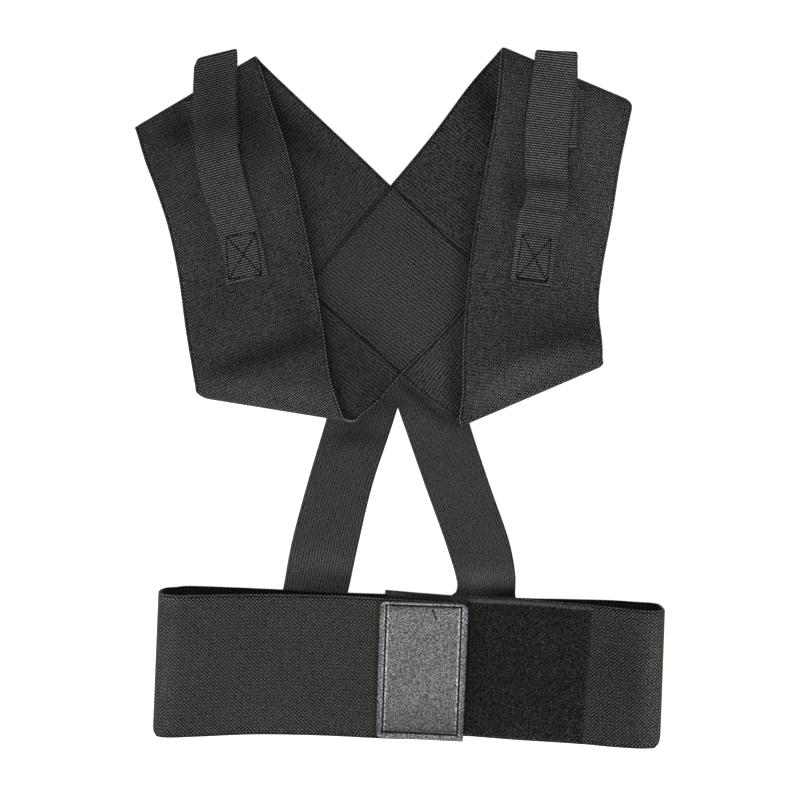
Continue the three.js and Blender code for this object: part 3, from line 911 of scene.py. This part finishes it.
def elastic(name, repeat, weights, width, level, contrast):
    """Woven elastic: dots, their slant, cross ribs, lines and flecks by weight; holes by each edge."""
    dots, slant, ribs, lines, flecks = weights
    g = Graph(name)
    u, v = g.cloth()
    x = g.parts(g.space())[0]
    phase_u = g.wander(u, 3.2, 0.9) * (2 * math.pi / repeat[0])
    phase_v = g.wander(v, 2.6, 0.9) * (2 * math.pi / repeat[1])
    wave_u, wave_v = g.math("COSINE", phase_u), g.math("COSINE", phase_v)
    skew = g.math("SINE", phase_u) * g.math("SINE", phase_v) * (g.math("SIGN", x) * slant)
    weave = (wave_u * wave_v + skew) * dots + wave_v * ribs + wave_u * lines + g.flecks(0.8) * flecks
    edge = g.math("MINIMUM", u, width - u)
    right_stronger = g.spread(x, -0.03, 0.03, 0.9, 1.2)
    edge_stronger = g.spread(edge, 2.0, 6.0, 1.6, 1.0)
    weave = weave * right_stronger * edge_stronger
    hole_row = g.spread(g.math("ABSOLUTE", edge - SELVEDGE_GROOVE[1]), 0.4, 0.9, 1.0, 0.0)
    holes = hole_row * g.spread(g.wave(v, BEAD_PITCH), -0.3, 0.5)
    tone = g.toned(weave, contrast) * (1.0 - holes * 0.85)
    return g.finish(g.dyed(tone, level), g.bump(weave - holes * 1.5, 0.20, 0.7), 0.95, 0.08, 0.04)


def ribbed(name, level, contrast):
    """Elastic with lengthwise ribs, stronger on the left."""
    g = Graph(name)
    u, v = g.cloth()
    left_stronger = g.spread(g.parts(g.space())[0], -0.02, 0.02, 0.5, 0.34)
    rib = g.wave(g.wander(u, 3.0, 0.5) - STRAP_RIB / 2, STRAP_RIB) * left_stronger
    weave = rib + g.flecks(0.85) * 3.0 + g.wave(v, 1.4) * 0.12
    return g.finish(g.dyed(g.toned(weave, contrast), level), g.bump(weave, 0.12, 0.6), 0.95, 0.08, 0.04)


def ribbed_webbing(name, level, contrast):
    """Webbing with cross ribs, its yarns showing as dots that change places from rib to rib."""
    g = Graph(name)
    u, v = g.cloth()
    rib = g.spread(g.wave(v, WEBBING_RIB), -0.2, 0.9, -0.62, 1.0)
    dot = g.wave(g.wander(u, 2.4, 1.0), WEBBING_DOT) * g.wave(v, 2 * WEBBING_RIB)
    weave = rib + dot * 0.55 + g.flecks(0.85) * 3.2
    return g.finish(g.dyed(g.toned(weave, contrast), level), g.bump(weave, 0.14, 0.7), 0.75, 0.2, 0.04)


def thread(name, level, roughness=0.8):
    """Sewing thread, twisted."""
    g = Graph(name)
    u, v = g.cloth()
    weave = g.wave(u + v, 0.55) + g.flecks(0.7) * 2.0
    return g.finish(g.dyed(g.toned(weave, 0.3), level), g.bump(weave, 0.06, 0.6), roughness, 0.1, 0.04)


def pile(name, level):
    """Brushed loop pile, dark between its loops."""
    g = Graph(name)
    weave = g.flecks(0.8) * 4.6 + g.flecks(1.1) * 3.6
    return g.finish(g.dyed(g.toned(weave, 2.4), level), g.bump(weave, 0.6, 0.8), 1.0, 0.02, 0.05)


def hook_tape(name, level):
    """Moulded black hook tape."""
    g = Graph(name)
    grain = g.flecks(0.5)
    return g.finish(g.dyed(g.toned(grain, 1.0), level, 0.0), g.bump(grain, 0.1, 0.5), 0.55, 0.4)


def leather(name, level):
    """Grey grained leather, worn brighter on top of its grain, with painted shade inside the upper and
    lower seams and painted light on its upper part.
    """
    g = Graph(name)
    _, v = g.cloth()
    grain = g.flecks(0.78) * 4.5 + g.flecks(1.1) * 3.2
    below_top, above_foot = -3.5 - v, v + 91.0
    inside = g.spread(g.math("MINIMUM", below_top, above_foot), -0.8, 0.2)
    # Painted shade inside the upper and lower seams, and painted light on the upper part
    top_shade = g.spread(below_top, 0.0, 5.5, 0.5, 0.0)
    foot_shade = g.spread(above_foot, 0.0, 30.0, 0.46, 0.0) + g.spread(above_foot, 0.0, 6.0, 0.2, 0.0)
    upper_painted_light = g.spread(above_foot, 45.0, 85.0, 0.0, -0.12)
    shade = top_shade + foot_shade + upper_painted_light
    tone = g.toned(grain, 1.45) * (1.0 - shade * inside)
    return g.finish(g.dyed(tone, level, -0.04), g.bump(grain, 0.16, 0.8), 0.5, 0.35)


def plain_floor(name, level, glow):
    """Pale matte table top, lit from within so that little shade shows on it."""
    g = Graph(name)
    speck = g.noise(14, 2.0)
    colour = g.blend(speck, grey(level, 0.0), grey(level + 0.015, 0.0))
    return g.finish(colour, g.bump(speck, 0.01, 0.1), 0.9, 0.1, glow=glow)


ELASTIC_FACE = elastic(
    "elastic_face", ELASTIC_REPEAT, (0.75, 0.3, 0.12, 0.16, 2.6), SHOULDER_WIDTH, 0.0238, 2.4
)
ELASTIC_BACK = elastic(
    "elastic_back", ELASTIC_REPEAT, (0.15, 0.3, 0.34, 0.23, 4.0), SHOULDER_WIDTH, 0.028, 1.4
)
BELT_FACE = elastic("belt_face", BELT_REPEAT, (0.85, 0.17, 0.08, 0.15, 2.4), BELT_WIDTH, 0.0283, 1.65)
# The loop's inside face: its own weave, with a darker level painted for the shade inside the loop
SHADED_BELT_INSIDE = elastic("shaded_belt_inside", BELT_REPEAT, (0.3, 0.17, 0.4, 0.2, 2.4), BELT_WIDTH, 0.012, 0.8)
STRAP_CLOTH = ribbed("strap_cloth", 0.0312, 1.2)
WEBBING_CLOTH = ribbed_webbing("webbing_cloth", 0.0190, 6.0)
SELVEDGE = thread("selvedge_yarn", 0.17, 0.9)
HEM_YARN = thread("hem_yarn", 0.07, 0.9)
DARK_THREAD = thread("dark_thread", 0.004)
PATCH_THREAD = thread("patch_thread", 0.005, 0.6)
PILE_CLOTH = pile("pile_cloth", 0.013)
PILE_YARN = thread("pile_yarn", 0.026, 0.95)
# Lighter yarn for the brushed upper edge: painted light, for the fibres there catching the light
LIT_BRUSHED_YARN = thread("lit_brushed_yarn", 0.10, 0.95)
HOOKS = hook_tape("hook_tape", 0.015)
LEATHER = leather("leather", 0.097)


def band_columns(width):
    """Places across a band: close together at the selvedges, then evenly spaced."""
    *rim, inner = SELVEDGE_COLUMNS
    middle = np.linspace(inner, width - inner, round((width - 2 * inner) / BAND_COLUMN) + 1)
    return np.concatenate([rim, middle, [width - r for r in reversed(rim)]])


def selvedge_relief(width):
    """A groove beside each edge."""
    depth, place, spread = SELVEDGE_GROOVE
    return lambda u, v, side: -depth * bell(np.minimum(u, width - u), place, spread)


def webbing_relief(u, v, side):
    """Cross ribs that stand out of the webbing and end in loops at its edges."""
    return WEBBING_RIB_HEIGHT * np.cos(2 * math.pi * v / WEBBING_RIB)


def strap_relief(u, v, side):
    """Lengthwise ribs."""
    return STRAP_RIB_HEIGHT * np.cos(2 * math.pi * (u - STRAP_RIB / 2) / STRAP_RIB)


def pile_relief(u, v, side):
    """Lumps in the pile, as a product of crossed waves."""
    lumps = np.sin(u * 1.9 + np.sin(v * 1.1) * 2) * np.sin(v * 2.1 + np.sin(u * 0.9) * 2)
    return PILE_HEIGHT * lumps if side > 0 else 0 * u


def near_line(points, start, end):
    """How far points lie to the right of a line in plan, and how far along it they lie as a share."""
    start, end = np.array(start, float), np.array(end, float)
    axis = end - start
    offset = points[..., :2] - start
    along = (offset @ axis) / (axis @ axis)
    side = (offset[..., 0] * axis[1] - offset[..., 1] * axis[0]) / np.linalg.norm(axis)
    return side, along


def round_off(plan, corner, first, second, radius):
    """Plan points with those outside a rounded corner drawn in to its arc."""
    corner = np.array(corner, float)
    sides = [unit(np.array(end, float) - corner) for end in (first, second)]
    half_angle = math.acos(float(np.clip(sides[0] @ sides[1], -1, 1))) / 2
    centre = corner + unit(sides[0] + sides[1]) * radius / math.sin(half_angle)
    reach = radius / math.tan(half_angle)
    offset = plan - corner
    near = (offset @ sides[0] < reach) & (offset @ sides[1] < reach)
    out = plan - centre
    far = np.linalg.norm(out, axis=-1)
    drawn = near & (far > radius) & (far < 3 * radius)
    return np.where(drawn[..., None], centre + unit(out) * radius, plan)


def rounded(corners):
    """A function that rounds a middle surface off in plan at some corners."""

    def settle(points, normal):
        moved = points.copy()
        for x, y, x0, y0, x1, y1, radius in corners:
            moved[..., :2] = round_off(moved[..., :2], (x, y), (x0, y0), (x1, y1), radius)
        return moved

    return settle


def press_panels(points, normal):
    """Lift soft ridges in the two front panels and draw in the diamond's sewn lines."""
    panel = (points[..., 2] > PANEL_LEAST_Z) & (normal[..., 2] < -0.5)
    crossing = (np.abs(points[..., 2] - BACK_OVER) < DIAMOND_REACH) & (normal[..., 2] > 0.5)
    lift = np.zeros(panel.shape)
    for x0, y0, x1, y1, spread, height in PANEL_RIDGES:
        side, along = near_line(points, (x0, y0), (x1, y1))
        ends = np.minimum(along + RIDGE_PAST, 1 + RIDGE_PAST - along) / RIDGE_FADE
        lift += np.where(panel, height * np.clip(ends, 0, 1) * bell(side, 0, spread), 0)
    for start, end in DIAMOND_SEAMS:
        side, along = near_line(points, start, end)
        side = np.abs(side)
        inside = crossing & (along > -SEAM_PAST) & (along < 1 + SEAM_PAST)
        depth, groove = SEAM_GROOVE
        swell, swell_place, swell_spread = SEAM_SWELL
        pucker, pucker_place, pucker_spread = SEAM_PUCKER
        drawn = swell * bell(side, swell_place, swell_spread) - depth * bell(side, 0, groove)
        waves = pucker * np.cos(along * 2 * math.pi * PUCKERS) * bell(side, pucker_place, pucker_spread)
        lift += np.where(inside, drawn + waves, 0)
    moved = rounded(ROUND_CORNERS)(points, normal)
    moved[..., 2] += lift
    return moved


def in_the_open(places):
    """True of places where the shoulder band's edges aren't hidden or sewn down in the diamond."""
    x, y, z = places.T
    sewn_down = (np.abs(z - BACK_OVER) < NEAR_OVER) & (x - y < SEWN_SIDE)
    return ~sewn_down & (np.abs(z - BACK_UNDER) > NEAR_UNDER)


def off_the_table(places):
    """True of places in the upper layer of the waist band."""
    return places[:, 2] > UPPER_LAYER


def tube_faces():
    """Faces of a closed tube, each as the rings and sides of its corners."""
    faces = []
    for ring in range(TUBE_RINGS - 1):
        for side in range(TUBE_SIDES):
            after = (side + 1) % TUBE_SIDES
            faces.append([(ring, side), (ring, after), (ring + 1, after), (ring + 1, side)])
    faces.append([(0, side) for side in reversed(range(TUBE_SIDES))])
    faces.append([(TUBE_RINGS - 1, side) for side in range(TUBE_SIDES)])
    return faces


def tubes_piece(name, centres, girths, across, up, material, areas=()):
    """Short closed tubes of yarn through the centres of their rings.

    Across and up are the half-axes of each tube's rings, which the girths make smaller in turn.
    """
    turns = 2 * math.pi * np.arange(TUBE_SIDES)[:, None] / TUBE_SIDES
    ring = across[:, None] * np.cos(turns) + up[:, None] * np.sin(turns)
    vertices = centres[:, :, None] + ring[:, None] * girths[:, None, None]
    bases = np.arange(len(centres)) * TUBE_RINGS * TUBE_SIDES
    tube = tube_faces()
    faces = [[base + ring * TUBE_SIDES + side for ring, side in face] for base in bases for face in tube]
    uvs = [(side * 0.3, ring * 0.4) for face in tube for ring, side in face] * len(centres)
    return mesh_piece(name, vertices.reshape(-1, 3), faces, uvs, [material], areas=areas)


def beads(name, strip, shown, settle, material, areas):
    """Rounded yarn turns along both edges of a strip, where shown is true of their place."""
    angles = math.pi * np.linspace(0.12, 0.88, TUBE_RINGS)
    found = []
    for lengths, column in zip(strip.lengths, (1, 2)):
        rows = np.interp(np.arange(0, lengths[-1], BEAD_PITCH), lengths, strip.dense)
        grid, _ = strip.grid(rows, [0, BEAD_INSET, strip.width - BEAD_INSET, strip.width])
        grid = settle(grid, normals(grid, strip.closed))
        places = grid[:, column]
        headings = unit(np.gradient(places, axis=0))
        ups = normals(grid, strip.closed)[:, column]
        found.append(np.stack([places, headings, ups])[:, shown(places)])
    place, heading, up = np.concatenate(found, axis=1)
    out = unit(np.cross(heading, up))
    centres = place[:, None] - heading[:, None] * np.cos(angles)[:, None] * BEAD_PITCH / 2
    return tubes_piece(name, centres, np.sin(angles), out * BEAD_ACROSS, up * BEAD_UP, material, areas)


def stitches(name, lines, stitch, height_at, material):
    """Sewn stitches as short arched threads along lines in plan."""
    parts = np.linspace(-0.5, 0.5, TUBE_RINGS)
    arch = stitch.radius * (0.9 - 4 * stitch.dive * parts**2) - stitch.sunk
    along = parts * stitch.length
    centres, across = [], []
    for start, end in np.array(lines, float):
        span = np.linalg.norm(end - start)
        heading = (end - start) / span
        out = np.array([-heading[1], heading[0]])
        count = max(1, round(span / stitch.pitch))
        for middle in (np.arange(count) + 0.5) * span / count:
            plan = start + np.outer(middle + along, heading) + np.outer(along * stitch.slant, out)
            heights = np.array([height_at(x, y) for x, y in plan])
            centres.append(np.column_stack([plan, heights + arch]))
            across.append([*out, 0])
    up = np.tile([0.0, 0.0, 1.0], (len(centres), 1))
    girths = stitch.radius * (1.0 - 1.5 * parts**2)
    return tubes_piece(name, np.array(centres), girths, np.array(across), up, material)


def outline_of(corners):
    """The sides of an outline, from each corner to the next."""
    return [(corners[k - 1], corners[k]) for k in (*range(1, len(corners)), 0)]


def tab_piece(name, outline, base, thickness, steps, top_shape, material):
    """Flat tab on a four-cornered outline with rounded corners; top_shape gives its relief and its
    painted light and shade.
    """
    corners, radii = np.array(outline, float)[:, :2], np.array(outline, float)[:, 2]
    right = np.linspace(0, 1, steps[0] + 1)[None, :, None]
    down = np.linspace(0, 1, steps[1] + 1)[:, None, None]
    top_side = corners[0] + (corners[1] - corners[0]) * right
    foot_side = corners[3] + (corners[2] - corners[3]) * right
    plan = top_side + (foot_side - top_side) * down
    for k, radius in enumerate(radii):
        plan = round_off(plan, corners[k], corners[(k + 1) % 4], corners[k - 1], radius)
    rim = np.min([np.abs(near_line(plan, *side)[0]) for side in outline_of(corners)], axis=0)
    relief, painted_light = top_shape(plan)
    rim_drop = TAB_RIM_DROP * (1 - np.clip(rim / TAB_RIM_WIDTH, 0, 1)) ** 2
    upper = np.dstack([plan, base + thickness + relief - rim_drop])
    lower = np.dstack([plan, np.full(rim.shape, base)])
    painted_light = np.tile(painted_light.ravel(), 2)
    return solid_piece(name, upper, lower, plan - corners[0], [material], painted_light=painted_light)


def leather_top(plan):
    """A sewn groove with the leather swelling on both sides of it, stitch by stitch, with painted
    highlights on the swellings and painted shade in the groove.
    """
    relief, painted_light = np.zeros(plan.shape[:2]), np.ones(plan.shape[:2])
    for (start, end), (inside, outside) in zip(outline_of(PATCH_SEAM), SEAM_HIGHLIGHTS):
        side, along = near_line(plan, start, end)
        count = round(math.dist(start, end) / PATCH_THREADS.pitch)
        within = (along > -PATCH_SEAM_PAST) & (along < 1 + PATCH_SEAM_PAST)
        puffs = 0.75 + 0.25 * np.cos(2 * math.pi * along * count)
        groove = within * bell(side, 0, PATCH_GROOVE)
        inner = within * bell(side, *INNER_SWELL)
        outer = within * bell(side, *OUTER_SWELL) * puffs
        relief += SWELL_HEIGHT * (inner + outer) - GROOVE_DEPTH * groove
        # Painted highlights on the swellings and painted shade in the groove
        painted_light += inside * inner + outside * outer - GROOVE_SHADE * groove
    return relief, painted_light


def hook_top(plan):
    """A plain top."""
    return np.zeros(plan.shape[:2]), np.ones(plan.shape[:2])


def pile_fuzz(name, strip, height_at, material, fuzz, areas=()):
    """Loops of brushed yarn out of the pile, as thin ribbons."""
    count, reach_in, seed = fuzz
    draw = random.Random(seed)
    vertices, faces, uvs = [], [], []
    for _ in range(count):
        t = np.array([draw.uniform(0, strip.spans)])
        place = strip.grid(t, [draw.uniform(0, reach_in)])[0][0, 0]
        turn = draw.uniform(0, 2 * math.pi)
        heading = np.array([math.cos(turn), math.sin(turn), 0])
        side = np.array([-heading[1], heading[0], 0]) * draw.uniform(0.07, 0.13)
        lean = np.array([draw.uniform(-0.4, 0.4), draw.uniform(-0.4, 0.4), 0])
        reach, rise = draw.uniform(0.5, 1.3), draw.uniform(0.5, 1.1)
        ground = height_at(place[0], place[1]) - FUZZ_ROOT
        base = len(vertices)
        for k in range(FUZZ_SEGMENTS + 1):
            angle = math.pi * k / FUZZ_SEGMENTS
            centre = place - heading * math.cos(angle) * reach / 2 + lean * math.sin(angle)
            centre[2] = ground + rise * math.sin(angle)
            vertices.extend([centre - side, centre + side])
        for k in range(FUZZ_SEGMENTS):
            faces.append([base + 2 * k, base + 2 * k + 1, base + 2 * k + 3, base + 2 * k + 2])
            uvs.extend([(0, k * 0.4), (0.3, k * 0.4), (0.3, k * 0.4 + 0.4), (0, k * 0.4 + 0.4)])
    return mesh_piece(name, vertices, faces, uvs, [material], areas=areas)


def add_light(name, place, size, power):
    """A soft round light, aimed at the middle of the table."""
    data = bpy.data.lights.new(name, "AREA")
    data.shape = "DISK"
    data.size = size
    data.energy = power
    light = bpy.data.objects.new(name, data)
    light.location = place
    light.rotation_euler = (-Vector(place)).to_track_quat("-Z", "Y").to_euler()
    bpy.context.collection.objects.link(light)


def set_stage():
    """Camera straight above, pale table, and soft light from below the picture and above."""
    data = bpy.data.cameras.new("camera")
    data.sensor_width = SENSOR_WIDTH
    data.lens = SENSOR_WIDTH * CAMERA_PLACE[2] / PICTURE_SPAN
    camera = bpy.data.objects.new("camera", data)
    camera.location = CAMERA_PLACE
    bpy.context.collection.objects.link(camera)
    bpy.context.scene.camera = camera
    bpy.context.scene.view_settings.view_transform = "Standard"

    mesh = bpy.data.meshes.new("table")
    corners = [(-1, -1), (1, -1), (1, 1), (-1, 1)]
    mesh.from_pydata([(x * TABLE_HALF, y * TABLE_HALF, TABLE_DROP) for x, y in corners], [], [range(4)])
    mesh.materials.append(plain_floor("table_top", 0.55, 0.75))
    table = bpy.data.objects.new("table", mesh)
    bpy.context.collection.objects.link(table)

    world = bpy.data.worlds.new("studio")
    world.use_nodes = True
    world.node_tree.nodes["Background"].inputs[0].default_value = (1, 1, 1, 1)
    world.node_tree.nodes["Background"].inputs[1].default_value = WORLD_STRENGTH
    bpy.context.scene.world = world
    for name, (place, size, power) in LIGHTS.items():
        add_light(name, place, size, power)


def dressed(piece, node=None):
    """A piece, with the CAD node that it replaces hidden."""
    if node is not None:
        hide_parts(node)
    return piece


def build_shoulder_band():
    """The endless band with its beaded edges, the diamond's stitches and a painted shadow line of dark
    thread; gives its middle surface.
    """
    strip = Strip(SHOULDER_BAND, SHOULDER_WIDTH, closed=True)
    first = len(BACK_DOWN_RIGHT) + len(RIGHT_PANEL) + 2 * FOLD_RUNGS
    seam_rungs = [first + 2, first + 4]
    cloth, points = sheet_piece(
        "shoulder_band_cloth", strip, strip.rows(SHOULDER_STEP, seam_rungs), band_columns(SHOULDER_WIDTH),
        BAND_THICKNESS, [ELASTIC_BACK, ELASTIC_FACE], selvedge_relief(SHOULDER_WIDTH),
        settle=press_panels, areas=BAND_PAINTED_SHADING,
    )
    dressed(cloth, "shoulder_band")
    edging = beads("shoulder_band_selvedge", strip, in_the_open, press_panels, SELVEDGE, BEAD_PAINTED_SHADE)
    # A painted shadow line of dark thread beside the upper band's lower edge, sewn with the diamond's
    # stitches
    edge = strip.edge(strip.b, np.linspace(*seam_rungs, SHADOW_LINE_POINTS))[:, :2] + SHADOW_LINE_OFFSET
    lines = DIAMOND_SEAMS + list(zip(edge[:-1], edge[1:]))
    on_diamond = top_of(cloth, DIAMOND_SKY)
    seams_and_shadow_line = stitches("diamond_stitch_and_shadow_line", lines, DIAMOND_THREADS, on_diamond, DARK_THREAD)
    trims = [dressed(edging), dressed(seams_and_shadow_line)]
    return points


def build_waist_band():
    """The flattened loop of the waist band with its beaded edges; gives its middle surface."""
    strip = Strip(WAIST_BAND, BELT_WIDTH)
    settle = rounded(BELT_CORNERS)
    cloth, points = sheet_piece(
        "waist_band_cloth", strip, strip.rows(BELT_STEP), band_columns(BELT_WIDTH), BAND_THICKNESS,
        [BELT_FACE, SHADED_BELT_INSIDE], selvedge_relief(BELT_WIDTH), settle=settle, areas=BELT_PAINTED_SHADING,
    )
    dressed(cloth, "waist_band")
    edging = beads("waist_band_selvedge", strip, off_the_table, settle, HEM_YARN, HEM_PAINTED_LIGHT)
    trims = [dressed(edging)]
    return points


def build_lower_strap(name, stretches):
    """One of the ribbed straps from the diamond down to the waist band."""
    strip = Strip(stretches, STRAP_WIDTH)
    across = np.linspace(0, STRAP_WIDTH, round(STRAP_WIDTH / STRAP_RIB * COLUMNS_PER_RIB) + 1)
    cloth, _ = sheet_piece(
        name + "_cloth", strip, strip.rows(STRAP_STEP), across, STRAP_THICKNESS, [STRAP_CLOTH] * 2,
        strap_relief, areas=STRAP_PAINTED_SHADING,
    )
    dressed(cloth, name)


def build_webbing(name, stretches, box, on_panel):
    """One of the webbing loops on the front panels, with its box stitch and hem."""
    strip = Strip(stretches, WEBBING_WIDTH)
    across = np.linspace(0, WEBBING_WIDTH, WEBBING_COLUMNS + 1)
    cloth, _ = sheet_piece(
        name + "_cloth", strip, strip.rows(WEBBING_RIB / ROWS_PER_RIB), across, WEBBING_THICKNESS,
        [WEBBING_CLOTH] * 2, webbing_relief, on_panel, rounded(WEBBING_CORNERS), WEBBING_PAINTED_SHADING,
    )
    dressed(cloth, name)
    on_webbing = top_of(cloth)
    box_lines = outline_of(box) + [(box[0], box[2]), (box[1], box[3])]
    sewn = stitches(name + "_box_stitch", box_lines, BOX_THREADS, on_webbing, DARK_THREAD)
    a, b = strip.a[-1][:2], strip.b[-1][:2]
    hem_line = (a + (b - a) * HEM_INSET, b + (a - b) * HEM_INSET)
    hem = stitches(name + "_hem", [hem_line], HEM_THREADS, on_webbing, HEM_YARN)
    trims = [dressed(sewn), dressed(hem)]


def build_loop_panel(on_right_end):
    """The loop pile on the waist band's right end, with its fuzz and brushed upper edge, whose yarn is
    painted lighter where its fibres catch the light.
    """
    strip = Strip(LOOP_PANEL, PILE_WIDTH)
    across = np.linspace(0, PILE_WIDTH, PILE_COLUMNS + 1)
    cloth, _ = sheet_piece(
        "loop_panel_cloth", strip, strip.rows(PILE_STEP), across, PILE_THICKNESS, [PILE_CLOTH] * 2,
        pile_relief, on_right_end, areas=LOOP_PAINTED_SHADING,
    )
    dressed(cloth, "loop_panel")
    on_pad = top_of(cloth)
    fuzz = pile_fuzz("loop_panel_fuzz", strip, on_pad, PILE_YARN, FUZZ)
    brushed = pile_fuzz(
        "loop_panel_brushed_edge", strip, on_pad, LIT_BRUSHED_YARN, BRUSHED_FUZZ, BRUSHED_PAINTED_SHADE
    )
    trims = [dressed(fuzz), dressed(brushed)]


def build_hook_pad():
    """The hidden hook piece of the clasp."""
    tape = tab_piece(
        "hook_pad_tape", HOOK_OUTLINE, HOOK_BASE, HOOK_THICKNESS, HOOK_STEPS, hook_top, HOOKS
    )
    dressed(tape, "hook_pad")


def build_leather_patch():
    """The bare leather patch with its seam and one loose thread end."""
    patch = tab_piece(
        "leather_patch_tab", LEATHER_OUTLINE, PATCH_BASE, LEATHER_THICKNESS, LEATHER_STEPS, leather_top,
        LEATHER,
    )
    dressed(patch, "leather_patch")
    on_patch = top_of(patch)
    sewn = stitches(
        "leather_patch_stitch", outline_of(PATCH_SEAM), PATCH_THREADS, on_patch, PATCH_THREAD
    )
    loose_lines = list(zip(LOOSE_END[:-1], LOOSE_END[1:]))
    loose = stitches("leather_patch_thread_end", loose_lines, LOOSE_THREADS, on_patch, PATCH_THREAD)
    trims = [dressed(sewn), dressed(loose)]


def build_harness():
    """All pieces, each laid on those below it."""
    band_points = build_shoulder_band()
    waist_points = build_waist_band()
    build_lower_strap("lower_strap_left", STRAP_LEFT)
    build_lower_strap("lower_strap_right", STRAP_RIGHT)
    on_panel = middle_height(band_points, True, SHOULDER_TOP)
    build_webbing("webbing_left", WEBBING_LEFT, BOX_LEFT, on_panel)
    build_webbing("webbing_right", WEBBING_RIGHT, BOX_RIGHT, on_panel)
    right_end = waist_points[-round(RIGHT_END_LENGTH / BELT_STEP):]
    build_loop_panel(middle_height(right_end, False, RIGHT_END))
    build_hook_pad()
    build_leather_patch()


set_stage()
build_harness()
